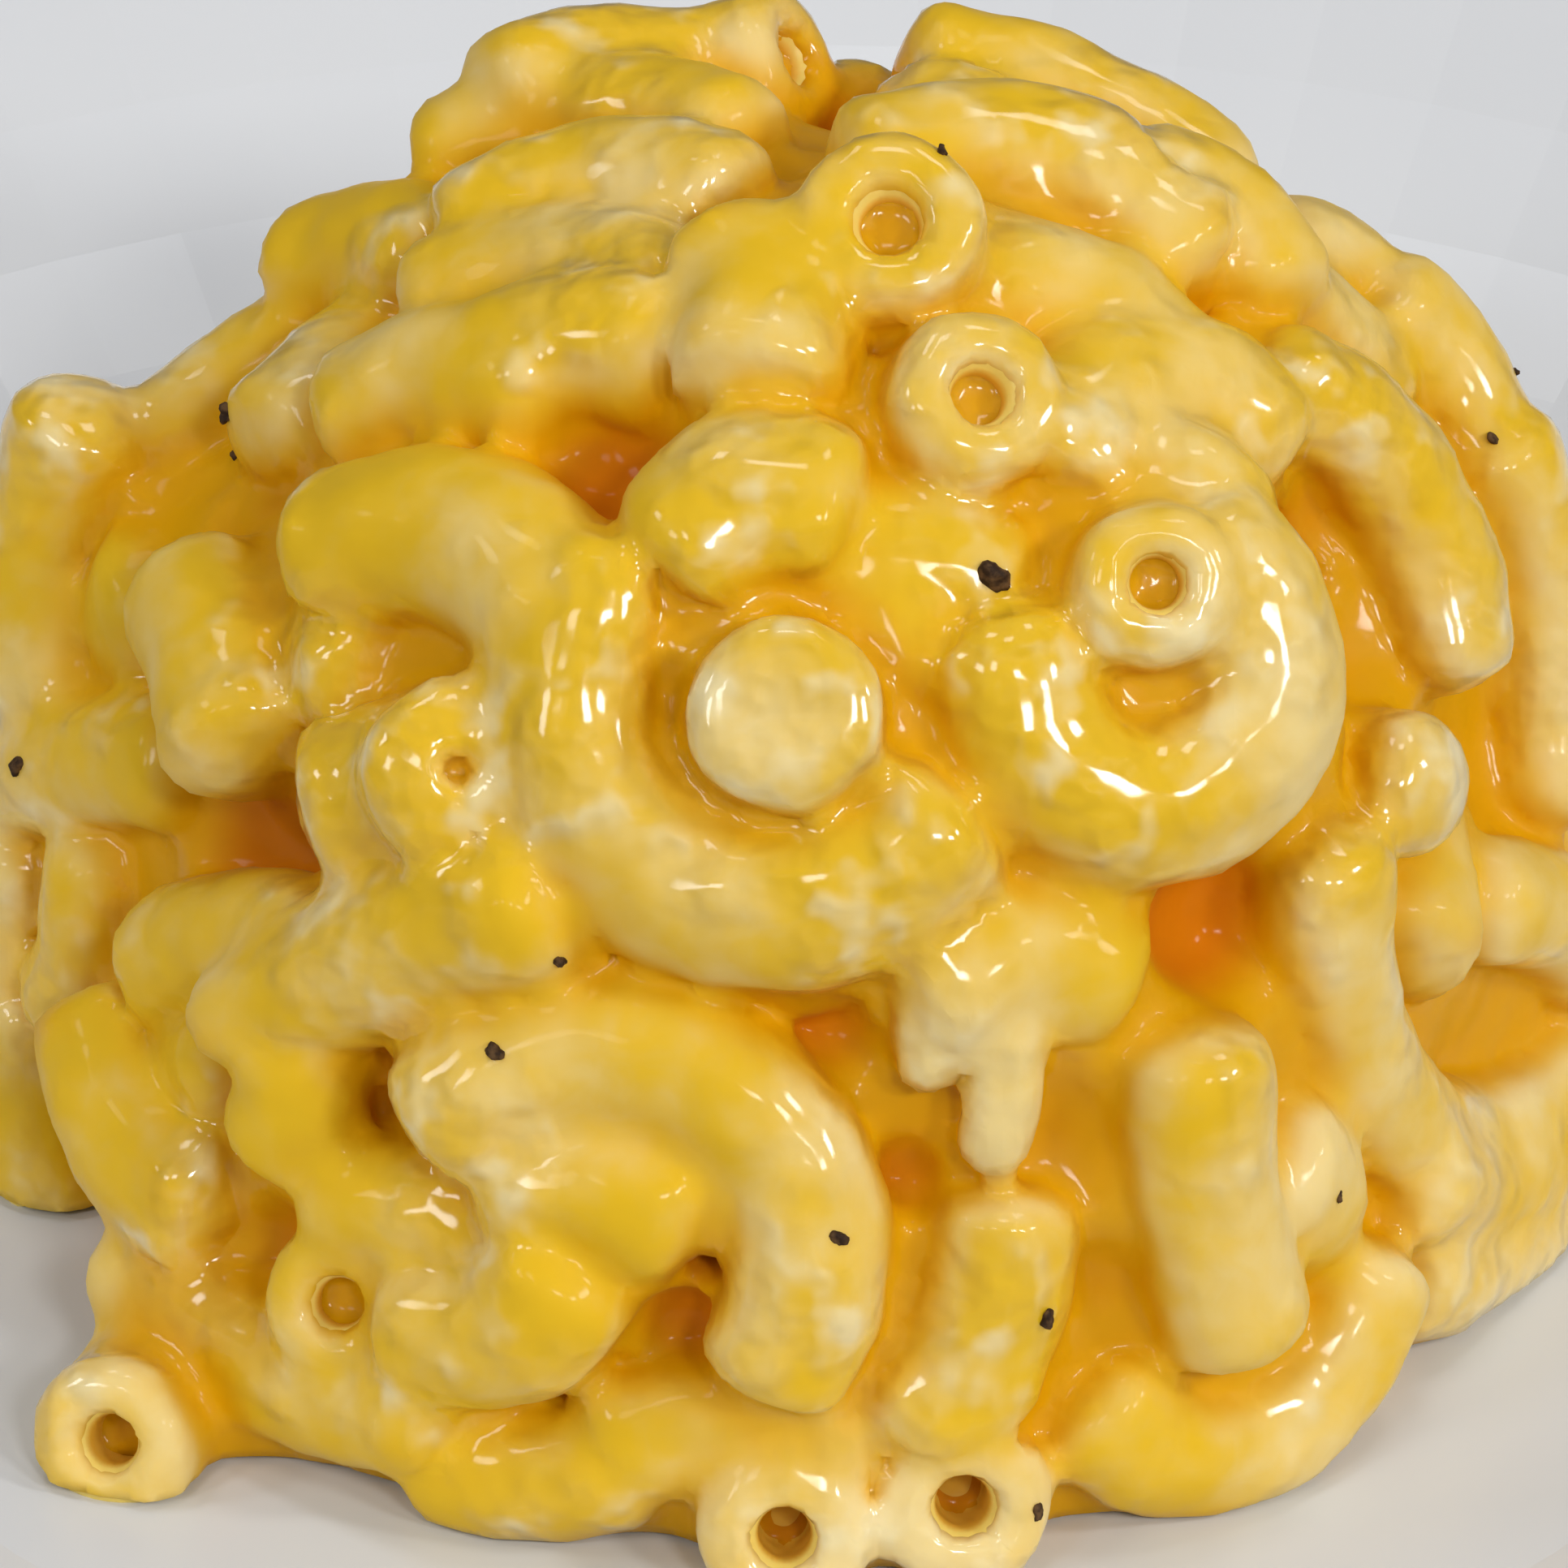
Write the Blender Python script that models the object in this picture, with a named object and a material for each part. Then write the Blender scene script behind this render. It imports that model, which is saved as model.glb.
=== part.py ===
"""A serving of elbow macaroni in cheese sauce, in the white coupe bowl it is eaten from.

Two solids: the turned bowl, and the pile of macaroni out to its uneven outline.
Everything is in metres, +Z up, with the origin on the table under the bowl's centre.
Run with: blender --background --python part.py
"""
import bpy
import bmesh
import numpy as np
from math import asin, cos, pi, radians, sin

# ---------------------------------------------------------------- driving dimensions

MM = 0.001

MOUTH_RADIUS = 87.0 * MM        # of the bowl's inside, where its rim begins to round over
MOUTH_HEIGHT = 35.0 * MM
WELL_RADIUS = 43.0 * MM         # the flat floor that the food sits on
WELL_HEIGHT = 7.0 * MM          # the floor's top face above the table
WALL = 4.2 * MM
FLARE = 1.8                     # how late the wall turns up: 1 is a cone
FOOT_OUTER = 47.0 * MM
FOOT_INNER = 42.0 * MM
FOOT_LIFT = 3.0 * MM            # the hollow under the floor, inside the foot ring
BOWL_SIDES = 72
WALL_STEPS = 8
RIM_STEPS = 4

GAP = 0.3 * MM                  # between the food and the bowl's floor
HEAP_SIDES = 100                # directions round the pile
HEAP_RINGS = 30                 # directions from the floor up to the top
CORE_SHRINK = 4.0               # mm that the packed inside lies under the outer elbows

# ---------------------------------------------------------------- how the elbows lie
# Lengths in this section are millimetres from the middle of the pile's base, because
# one elbow is only a few of them thick.

TUBE = 3.6                      # outer radius of one coated elbow
MOUND_RADIUS = 34.0
MOUND_HEIGHT = 49.0
SHOULDER = 2.6                  # exponents of the mound's outline, 2 and 2 is a dome
CROWN = 2.1
BLUNT, PITTED = 0.02, -1.0      # ends that aren't open: cut off square, or with a dimple
DRIP = 2.0                      # what is thinner than this is a drip of sauce
LEAN = 0.05                     # how far the mound leans to the diner's right as it rises

SEAT_SLOPE = radians(30)        # the diner looks down at the pile by this much
SEAT_DISTANCE = 320.0
AIM = np.array([0.0, 0.0, 17.5])
ACROSS = np.array([1.0, 0.0, 0.0])
UP = np.array([0.0, sin(SEAT_SLOPE), cos(SEAT_SLOPE)])
OUT = np.array([0.0, -cos(SEAT_SLOPE), sin(SEAT_SLOPE)])
SEAT = AIM + SEAT_DISTANCE * OUT


def unit(v):
    return v / np.linalg.norm(v)


def mound_level(points, inset=TUBE):
    """Below 0 inside the mound and above 0 outside it, for points of shape (..., 3)."""
    height = np.maximum(points[..., 2], 0.0)
    across = np.hypot(points[..., 0] - LEAN * height, points[..., 1]) / (MOUND_RADIUS - inset)
    height = height / (MOUND_HEIGHT - inset)
    return across ** SHOULDER + height ** CROWN - 1.0


def mound_normal(point):
    """The mound's outward direction at a point on or near its surface."""
    east = point[0] - LEAN * max(point[2], 0.0)
    across = max(np.hypot(east, point[1]), 1e-6)
    wide, tall = MOUND_RADIUS - TUBE, MOUND_HEIGHT - TUBE
    side = SHOULDER * (across / wide) ** (SHOULDER - 1) / wide
    top = CROWN * (max(point[2], 0.0) / tall) ** (CROWN - 1) / tall
    return unit(np.array([side * east / across, side * point[1] / across, top - LEAN * side * east / across]))


def seen_at(across, up):
    """The mound's point that the diner sees at this place on the upright plane through AIM."""
    ray = unit(AIM + across * ACROSS + up * UP - SEAT)
    reach = np.arange(SEAT_DISTANCE - 60.0, SEAT_DISTANCE + 60.0, 0.5)
    points = SEAT + reach[:, None] * ray
    points = points[points[:, 2] >= 0.0]
    level = mound_level(points)
    hit = np.flatnonzero(level < 0.0)
    return points[hit[0] if len(hit) else int(np.argmin(level))]


def facing(point):
    """The way that an elbow on the mound faces: half outwards, half towards the diner."""
    return unit(0.45 * OUT + 0.55 * mound_normal(point))


def local_axes(normal):
    """Right, up and outward directions of a plane that faces along normal."""
    right = unit(ACROSS - normal * np.dot(ACROSS, normal))
    return right, np.cross(normal, right), normal


def laid(start, stop, bow, lift=0.0, tube=TUBE, lean=0.0, open=(0.0, 0.0)):
    """An elbow on the mound whose middle line runs from start to stop, as the diner sees them.

    Its middle is bowed by bow to the left of the way from start to stop; lift raises the
    elbow, one number or one for each end, and lean turns the bow outwards, in degrees.
    """
    lifts = lift if isinstance(lift, tuple) else (lift, lift)
    ends = [seen_at(*place) for place in (start, stop)]
    ends = [point + facing(point) * height for point, height in zip(ends, lifts)]
    middle, chord = (ends[0] + ends[1]) / 2, ends[1] - ends[0]
    length, way = np.linalg.norm(chord), unit(chord)
    out = facing(middle)
    left = unit(np.cross(out, way))
    side = (left * cos(radians(lean)) + np.cross(way, left) * sin(radians(lean))) * np.sign(bow)
    bow = abs(bow)
    bend = (length ** 2 / 4 + bow ** 2) / (2 * bow)
    half = asin(min(1.0, length / 2 / bend))
    half = pi - half if bow > bend else half
    return dict(centre=middle + side * (bow - bend), x=side, y=way, bend=bend, tube=tube,
                begin=-half, sweep=2 * half, lead=0.0, tail=0.0, open=open)


def curled(across, up, bend, begin, sweep, lift=0.0, swing=0.0, tube=TUBE, open=(0.0, 0.0)):
    """An elbow that curls round (across, up) by sweep degrees from begin; swing turns its right side in."""
    point = seen_at(across, up)
    right, rise, normal = local_axes(facing(point))
    turn = radians(swing)
    right, normal = right * cos(turn) - normal * sin(turn), normal * cos(turn) + right * sin(turn)
    return dict(centre=point + normal * lift, x=right, y=rise, bend=bend, tube=tube,
                begin=radians(begin), sweep=radians(sweep), lead=0.0, tail=0.0, open=open)


def poking(across, up, heading, bend=6.0, sweep=110.0, lift=0.0, tip=0.0, tube=TUBE, open=(0.45, 0.0)):
    """An elbow whose end shows at (across, up) and whose body dives in towards heading."""
    point = seen_at(across, up)
    right, rise, normal = local_axes(unit(0.7 * OUT + 0.3 * mound_normal(point)))
    way = right * cos(radians(heading)) + rise * sin(radians(heading))
    inward = way * sin(radians(tip)) - normal * cos(radians(tip))
    side = way * cos(radians(tip)) + normal * sin(radians(tip))
    return dict(centre=point + normal * lift + side * bend, x=-side, y=inward, bend=bend,
                tube=tube, begin=0.0, sweep=radians(sweep), lead=0.0, tail=0.0, open=open)


def centreline(elbow, step=0.9):
    """Points along the middle of an elbow, one every step."""
    ends = elbow["begin"], elbow["begin"] + elbow["sweep"]
    count = max(4, int(elbow["bend"] * elbow["sweep"] / step))
    angle = np.linspace(ends[0], ends[1], count)[:, None]
    points = elbow["centre"] + elbow["bend"] * (elbow["x"] * np.cos(angle) + elbow["y"] * np.sin(angle))
    ways = [elbow["y"] * cos(a) - elbow["x"] * sin(a) for a in ends]
    for length, way, first in ((elbow["lead"], -ways[0], True), (elbow["tail"], ways[1], False)):
        if length > 0.0:
            reach = np.linspace(0.0, length, max(2, int(length / step)) + 1)[1:, None]
            stretch = (points[0] if first else points[-1]) + reach * way
            points = np.vstack([stretch[::-1], points] if first else [points, stretch])
    return points


def served_side():
    """The elbows on the side that faces the diner, laid one by one from the middle outwards."""
    return [
        # the big curl in the middle, the end that it holds, and what lies round them
        laid((-7.9, 6.8), (4.8, -2.8), -5.9, lift=0.9),
        poking(0.2, 2.8, -90, lift=2.4, tube=3.7, open=(BLUNT, 0.0)),
        laid((-4.9, 6.8), (5.4, 5.6), 3.4, lift=-0.8, tube=2.9),
        laid((-2.4, 10.7), (-0.3, 11.3), 0.3, lift=0.9, tube=3.7),
        laid((3.2, 9.2), (7.2, 9.0), 0.4, lift=-0.9, tube=3.2),
        curled(14.2, 4.7, 5.0, 190, 215, lift=1.4, tube=3.4),
        poking(14.6, 8.0, 60, bend=4.0, sweep=90, lift=3.4, tube=3.2),
        poking(7.6, 15.3, -150, bend=5.0, sweep=100, lift=1.8, tip=10, tube=3.5),
        poking(4.3, 21.7, -20, bend=3.4, sweep=90, lift=3.0, tube=3.8),
        # the top
        poking(-1.2, 29.6, 185, bend=5.0, sweep=60, lift=0.2, tip=55, tube=3.3, open=(0.35, 0.0)),
        laid((-10.2, 29.0), (-5.6, 29.4), 0.4, tube=3.0),
        laid((-12.6, 26.2), (-3.0, 26.8), 1.2, lift=0.2, tube=2.9),
        laid((-11.6, 23.2), (-3.4, 24.2), 1.2, lift=0.6, tube=2.8),
        laid((-13.2, 20.6), (-6.0, 20.8), 0.8, lift=-0.4, tube=2.9),
        laid((-10.4, 17.6), (-6.2, 18.0), 0.4, lift=0.3, tube=3.1),
        laid((-1.2, 19.4), (-0.9, 17.9), 0.2, lift=0.8, tube=3.8),
        laid((5.5, 24.9), (15.3, 22.4), 1.6, lift=0.8, tube=3.5),
        laid((7.6, 30.2), (17.2, 25.9), 1.0, lift=-0.8, tube=2.9),
        laid((8.5, 20.3), (14.0, 18.6), 0.8, lift=-0.4, tube=3.2),
        laid((15.4, 23.6), (18.9, 20.7), 0.5, lift=2.0, tube=2.6),
        laid((21.8, 21.4), (25.4, 17.2), 0.6, lift=-0.2, tube=3.1),
        laid((11.8, 14.2), (18.2, 15.2), 1.6, tube=3.3),
        laid((21.0, 15.6), (26.6, 6.5), 1.5, lift=1.2, tube=2.8),
        laid((26.4, 19.3), (29.5, 13.5), 0.6, lift=-0.6, tube=2.8),
        laid((30.3, 13.0), (31.8, 1.0), 0.8, lift=-0.4, tube=2.9),
        laid((19.6, 20.2), (23.4, 17.0), 0.5, lift=-0.4, tube=3.0),
        # the left side
        laid((-18.6, 21.7), (-14.9, 22.0), 0.4, lift=-0.2, tube=3.1),
        laid((-16.3, 15.9), (-11.0, 16.6), 0.5, lift=0.2, tube=3.1),
        laid((-16.6, 9.7), (-9.9, 8.0), 1.0, lift=0.8, tube=3.6),
        laid((-23.0, 6.4), (-22.0, 3.0), 0.2, lift=1.2, tube=3.4),
        laid((-29.6, 13.8), (-30.6, 5.5), -0.8, tube=3.1),
        laid((-25.4, 14.6), (-20.4, 18.4), 0.3, lift=-0.6, tube=2.9),
        laid((-23.4, 12.4), (-18.0, 5.2), 0.6, lift=-1.0, tube=3.0),
        poking(-13.4, 0.4, 195, bend=3.2, sweep=80, lift=1.3, tip=10, tube=3.7, open=(PITTED, 0.0)),
        laid((-31.8, 0.6), (-25.8, 0.9), 0.3, lift=-0.6, tube=2.9),
        laid((-25.0, -7.2), (-20.5, -6.8), 0.5, lift=-0.4, tube=2.9),
        laid((-28.2, -4.0), (-29.0, -8.5), 0.5, lift=0.3, tube=2.5),
        laid((-32.6, -3.5), (-33.2, -9.5), -0.5, lift=-0.5, tube=2.6),
        laid((-32.2, -10.0), (-30.6, -16.6), -0.4, lift=-0.4, tube=3.1),
        # the lower left
        laid((-27.0, -11.8), (-24.6, -16.4), -0.5, lift=0.4, tube=3.6),
        laid((-11.0, -5.0), (-20.2, -9.4), -0.5, lift=1.5, tube=3.25),
        laid((-19.6, -11.6), (-19.9, -13.8), 0.4, lift=1.5, tube=2.5),
        poking(-26.5, -26.6, 75, bend=7.0, sweep=100, lift=3.0, tube=3.4, open=(0.7, 0.0)),
        laid((-25.0, -20.6), (-15.5, -25.4), -0.9, lift=0.5, tube=3.3),
        poking(-18.0, -21.3, -10, lift=0.8, tube=3.1),
        poking(-14.8, -17.9, 30, lift=-0.4, tube=2.9, open=(0.0, 0.0)),
        laid((-17.5, -17.2), (-13.0, -18.6), 0.4, lift=-0.2, tube=2.8),
        laid((-13.2, -22.2), (-9.6, -20.9), -0.5, lift=1.0, tube=3.3),
        laid((-9.6, -16.5), (-6.0, -17.2), 0.3, lift=0.4, tube=3.1),
        laid((-12.4, -12.7), (0.2, -22.2), 6.3, lift=(1.4, 1.6), tube=3.15),
        laid((-5.3, -26.8), (1.2, -26.9), 0.3, lift=-0.6, tube=3.1),
        laid((-13.0, -28.2), (-8.0, -28.4), -0.3, lift=-0.4, tube=2.9),
        poking(0.0, -30.6, 90, lift=1.4, tube=3.5, open=(0.9, 0.0)),
        poking(7.2, -29.3, 100, lift=1.4, tube=3.5, open=(0.9, 0.0)),
        # the right side
        laid((9.0, -19.2), (6.7, -24.8), 0.5, lift=0.4, tube=3.1),
        laid((7.6, -7.6), (11.6, -7.3), 0.5, lift=0.2, tube=3.2),
        laid((5.6, -10.0), (5.8, -11.4), 0.2, lift=1.2, tube=1.2),
        laid((8.8, -9.8), (8.5, -14.4), 0.3, lift=1.6, tube=1.5),
        laid((16.5, -12.4), (17.5, -20.5), -0.3, lift=2.2, tube=3.1),
        laid((22.0, -4.2), (31.0, -12.4), -5.8, lift=0.8, tube=2.9),
        laid((26.6, -16.4), (32.0, -14.5), -0.8, lift=-0.4, tube=3.0),
        laid((29.0, -4.9), (32.5, -6.5), 0.5, lift=0.4, tube=2.7),
        poking(25.0, 0.0, 175, bend=5.0, sweep=95, lift=1.3, tip=35, tube=2.9, open=(0.0, 0.0)),
        laid((13.6, -26.3), (23.2, -21.8), -2.8, lift=0.4, tube=3.1),
        laid((26.5, -20.4), (32.0, -17.2), -0.5, lift=-0.4, tube=2.8),
    ]


# ---------------------------------------------------------------- the rest of the pile

LAYERS = (0.0, -1.5, -3.0, -5.0, -8.0)  # mm that each packing lies below the mound's outline
TRIES = (2500, 3000, 3000, 2500, 1200)  # elbows tried in each
NEAREST = (5.3, 4.6, 4.2, 4.0, 4.4)     # mm kept between the middles of two elbows
BENDS = (5.0, 8.0)              # range of bend radius
SWEEPS = (100, 190)             # range of sweep in degrees
SEED = 11
HELD_BACK = -2.5                # the layers above this one leave the served side as it is laid
KEPT_CLEAR = (                  # (across, up, radius) of the gaps that they leave, as the diner sees them
    (3.2, 31.6, 2.4), (-22.5, -3.0, 1.0), (17.4, -6.2, 0.6),
    (23.6, 3.0, 0.2), (-7.6, 13.0, 0.2), (-3.0, -19.0, 0.2), (1.2, -10.0, 0.2),
)


def as_seen(points):
    """Where the diner sees points of shape (n, 3): across and up on the upright plane through AIM."""
    away = points - SEAT
    return np.column_stack((away @ ACROSS, away @ UP)) * SEAT_DISTANCE / -(away @ OUT)[:, None]


def in_a_gap(points):
    seen = as_seen(points)
    return any(np.hypot(*(seen - spot[:2]).T).min() < spot[2] + TUBE for spot in KEPT_CLEAR)


def tumbled(rng, layer):
    """An elbow thrown on the mound at random, lying along its surface."""
    turn = rng.uniform(0.0, 2.0 * pi)
    level = rng.uniform(0.04, 1.0)
    height = (MOUND_HEIGHT - TUBE) * level ** 0.8
    wide = (1.0 - (height / (MOUND_HEIGHT - TUBE)) ** CROWN) ** (1.0 / SHOULDER)
    radius = (MOUND_RADIUS - TUBE) * wide
    point = np.array([radius * cos(turn) + LEAN * height, radius * sin(turn), height])
    normal = mound_normal(point)
    way = unit(np.cross(normal, rng.normal(size=3)))
    side = np.cross(normal, way)
    tip = radians(rng.uniform(-35, 35))
    side = side * cos(tip) + normal * sin(tip)
    bend = rng.uniform(*BENDS)
    sweep = radians(rng.uniform(*SWEEPS))
    centre = point + normal * layer - way * bend * 0.8
    return dict(centre=centre, x=way, y=side, bend=bend, tube=TUBE, out=normal,
                begin=-sweep / 2, sweep=sweep, lead=0.0, tail=0.0)


def packed_elbows():
    """The served side, then seeded layers that fill the sides, the back and the gaps."""
    rng = np.random.default_rng(SEED)
    elbows = served_side()
    middles = np.vstack([centreline(e) for e in elbows])
    for layer, tries, nearest in zip(LAYERS, TRIES, NEAREST):
        for _ in range(tries):
            elbow = tumbled(rng, layer)
            if layer > HELD_BACK and np.dot(elbow["out"], OUT) > 0.3:
                continue
            points = centreline(elbow, step=1.8)
            rise = max(0.0, TUBE - points[:, 2].min())      # none sinks into the bowl
            points[:, 2] += rise
            elbow["centre"][2] += rise
            faces_seat = np.dot(elbow["out"], OUT) > -0.2
            if mound_level(points).max() > 0.1 or (faces_seat and in_a_gap(points)):
                continue
            close = middles[np.linalg.norm(middles - points.mean(axis=0), axis=1) < 20.0]
            apart = np.linalg.norm(points[:, None] - close[None], axis=2)
            if apart.size == 0 or apart.min() > nearest:
                elbows.append(elbow)
                middles = np.vstack([middles, centreline(elbow)])
    return elbows


# ---------------------------------------------------------------- making the solids

def new_object(name, mesh_builder, colour, roughness):
    """A named object with its own material, from a function that fills a bmesh."""
    shape = bmesh.new()
    mesh_builder(shape)
    bmesh.ops.recalc_face_normals(shape, faces=shape.faces)
    mesh = bpy.data.meshes.new(name)
    shape.to_mesh(mesh)
    shape.free()
    mesh.shade_smooth()
    mesh.set_sharp_from_angle(angle=radians(50))
    material = bpy.data.materials.new(name)
    material.use_nodes = True
    shader = material.node_tree.nodes["Principled BSDF"]
    shader.inputs["Base Color"].default_value = (*colour, 1.0)
    shader.inputs["Roughness"].default_value = roughness
    shader.inputs["Metallic"].default_value = 0.0
    mesh.materials.append(material)
    obj = bpy.data.objects.new(name, mesh)
    bpy.context.scene.collection.objects.link(obj)
    return obj


def skin(shape, rings, first_pole, last_pole):
    """Close a stack of equal rings of points into one skin, with a pole at each end."""
    loops = [[shape.verts.new(point) for point in ring] for ring in rings]
    count = len(loops[0])
    for lower, upper in zip(loops, loops[1:]):
        for i in range(count):
            j = (i + 1) % count
            shape.faces.new((lower[i], lower[j], upper[j], upper[i]))
    for loop, pole in ((loops[0], first_pole), (loops[-1], last_pole)):
        tip = shape.verts.new(pole)
        for i in range(count):
            shape.faces.new((loop[i], loop[(i + 1) % count], tip))


def inner_height(radius):
    """Height of the bowl's inside above the table: a flat well, then a wall that turns up."""
    climb = (radius - WELL_RADIUS) / (MOUTH_RADIUS - WELL_RADIUS)
    return WELL_HEIGHT + (MOUTH_HEIGHT - WELL_HEIGHT) * max(0.0, climb) ** FLARE


def wall_line():
    """The inside of the wall from the well's edge to the rim, as (radius, height)."""
    steps = np.linspace(0.0, 1.0, WALL_STEPS + 1)
    radii = WELL_RADIUS + (MOUTH_RADIUS - WELL_RADIUS) * steps
    return [(r, inner_height(r)) for r in radii]


def bowl_profile():
    """Half of the bowl's section, from the foot's inside, round the outside, to the well."""
    inside = wall_line()
    outside = []
    for (r0, z0), (r1, z1) in zip(inside, inside[1:]):
        along = unit(np.array([r1 - r0, z1 - z0]))
        middle = np.array([(r0 + r1) / 2, (z0 + z1) / 2])
        outside.append(tuple(middle + WALL * np.array([along[1], -along[0]])))
    outside = [point for point in outside if point[0] > FOOT_OUTER + MM]
    # the rim is half a circle from the last outside point's side to the inside's
    rim_radius, rim_height = inside[-1]
    along = unit(np.array(inside[-1]) - np.array(inside[-2]))
    across = np.array([along[1], -along[0]])
    heart = np.array([rim_radius, rim_height]) + across * WALL / 2
    turns = np.linspace(0.0, pi, RIM_STEPS + 1)
    rim = [tuple(heart + WALL / 2 * (across * cos(t) + along * sin(t))) for t in turns]
    foot = [
        (FOOT_INNER - MM, FOOT_LIFT),
        (FOOT_INNER, FOOT_LIFT - MM),
        (FOOT_INNER, 0.4 * MM),
        (FOOT_INNER + 0.4 * MM, 0.0),
        (FOOT_OUTER - 0.4 * MM, 0.0),
        (FOOT_OUTER, 0.4 * MM),
        (FOOT_OUTER, FOOT_LIFT),
    ]
    return foot + outside + rim + inside[-2::-1]


def build_bowl(shape):
    turns = np.linspace(0.0, 2.0 * pi, BOWL_SIDES, endpoint=False)
    rings = [[(r * cos(t), r * sin(t), z) for t in turns] for r, z in bowl_profile()]
    skin(shape, rings, (0.0, 0.0, FOOT_LIFT), (0.0, 0.0, WELL_HEIGHT))


def pile_reach(directions, elbows):
    """How far the pile reaches from the middle of its base in each direction, in mm."""
    slope = np.abs(directions[:, 2])
    flat = np.hypot(directions[:, 0], directions[:, 1])
    near, far = np.zeros(len(directions)), np.full(len(directions), 2.0 * MOUND_HEIGHT)
    for _ in range(24):
        middle = (near + far) / 2
        wide = middle * flat / (MOUND_RADIUS - CORE_SHRINK)
        tall = middle * slope / (MOUND_HEIGHT - CORE_SHRINK)
        within = wide ** SHOULDER + tall ** CROWN < 1.0
        near, far = np.where(within, middle, near), np.where(within, far, middle)
    reach = near
    for elbow in elbows:
        points = centreline(elbow)
        along = directions @ points.T
        inside = elbow["tube"] ** 2 - (np.sum(points ** 2, axis=1)[None] - along ** 2)
        leaving = np.where(inside > 0.0, along + np.sqrt(np.maximum(inside, 0.0)), 0.0)
        reach = np.maximum(reach, leaving.max(axis=1))
    return reach


def build_pile(shape):
    turns = np.linspace(0.0, 2.0 * pi, HEAP_SIDES, endpoint=False)
    rises = np.linspace(0.0, pi / 2, HEAP_RINGS + 1)[:-1]
    floor = WELL_HEIGHT + GAP
    elbows = packed_elbows()
    rings = []
    for rise in rises:
        ways = np.array([(cos(rise) * cos(t), cos(rise) * sin(t), sin(rise)) for t in turns])
        points = ways * pile_reach(ways, elbows)[:, None] * MM
        rings.append([(x, y, z + floor) for x, y, z in points])
    top = pile_reach(np.array([[0.0, 0.0, 1.0]]), elbows)[0] * MM + floor
    skin(shape, rings, (0.0, 0.0, floor), (0.0, 0.0, top))


def main():
    for obj in list(bpy.data.objects):
        bpy.data.objects.remove(obj, do_unlink=True)
    new_object("bowl", build_bowl, colour=(0.86, 0.86, 0.84), roughness=0.12)
    new_object("macaroni_pile", build_pile, colour=(0.80, 0.50, 0.09), roughness=0.35)


main()
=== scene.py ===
"""The looks of a serving of elbow macaroni in cheese sauce, in its white coupe bowl.

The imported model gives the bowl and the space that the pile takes. This script turns the
pile into separate elbows of macaroni, the cheese sauce that coats and joins them, and
cracked pepper, and gives the bowl its glaze. Everything is in metres, +Z up.
"""

import bpy
import bmesh
import numpy as np
from math import asin, atan, ceil, cos, pi, radians, sin
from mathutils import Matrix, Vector
from mathutils.bvhtree import BVHTree


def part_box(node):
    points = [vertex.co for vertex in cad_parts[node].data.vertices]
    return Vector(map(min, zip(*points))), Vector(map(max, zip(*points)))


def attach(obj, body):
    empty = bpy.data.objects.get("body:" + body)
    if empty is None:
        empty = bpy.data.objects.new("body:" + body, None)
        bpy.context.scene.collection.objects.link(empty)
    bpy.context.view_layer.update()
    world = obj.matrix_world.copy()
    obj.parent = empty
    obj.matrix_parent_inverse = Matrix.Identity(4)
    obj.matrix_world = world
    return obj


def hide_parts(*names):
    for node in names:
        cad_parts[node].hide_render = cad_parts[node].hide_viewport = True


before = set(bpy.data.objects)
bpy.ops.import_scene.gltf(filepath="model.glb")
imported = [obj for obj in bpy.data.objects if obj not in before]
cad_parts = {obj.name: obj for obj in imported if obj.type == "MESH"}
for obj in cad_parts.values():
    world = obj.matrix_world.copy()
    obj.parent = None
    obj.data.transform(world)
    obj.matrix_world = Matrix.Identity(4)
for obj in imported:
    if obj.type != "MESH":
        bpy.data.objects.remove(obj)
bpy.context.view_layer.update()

MM = 0.001
PILE_LOW, PILE_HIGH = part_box("macaroni_pile")
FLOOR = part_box("bowl")[0][2]            # the table top
WELL = PILE_LOW[2] - 0.3 * MM           # the floor of the bowl, under the food

# ---------------------------------------------------------------- how the elbows lie
# Lengths in this section are millimetres from the middle of the pile's base, because
# one elbow is only a few of them thick.

TUBE = 3.6                      # outer radius of one coated elbow
MOUND_RADIUS = 34.0
MOUND_HEIGHT = 49.0
SHOULDER = 2.6                  # exponents of the mound's outline, 2 and 2 is a dome
CROWN = 2.1
BLUNT, PITTED = 0.02, -1.0      # ends that aren't open: cut off square, or with a dimple
DRIP = 2.0                      # what is thinner than this is a drip of sauce
LEAN = 0.05                     # how far the mound leans to the diner's right as it rises

SEAT_SLOPE = radians(30)        # the diner looks down at the pile by this much
SEAT_DISTANCE = 320.0
AIM = np.array([0.0, 0.0, 17.5])
ACROSS = np.array([1.0, 0.0, 0.0])
UP = np.array([0.0, sin(SEAT_SLOPE), cos(SEAT_SLOPE)])
OUT = np.array([0.0, -cos(SEAT_SLOPE), sin(SEAT_SLOPE)])
SEAT = AIM + SEAT_DISTANCE * OUT


def unit(v):
    return v / np.linalg.norm(v)


def mound_level(points, inset=TUBE):
    """Below 0 inside the mound and above 0 outside it, for points of shape (..., 3)."""
    height = np.maximum(points[..., 2], 0.0)
    across = np.hypot(points[..., 0] - LEAN * height, points[..., 1]) / (MOUND_RADIUS - inset)
    height = height / (MOUND_HEIGHT - inset)
    return across ** SHOULDER + height ** CROWN - 1.0


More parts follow.
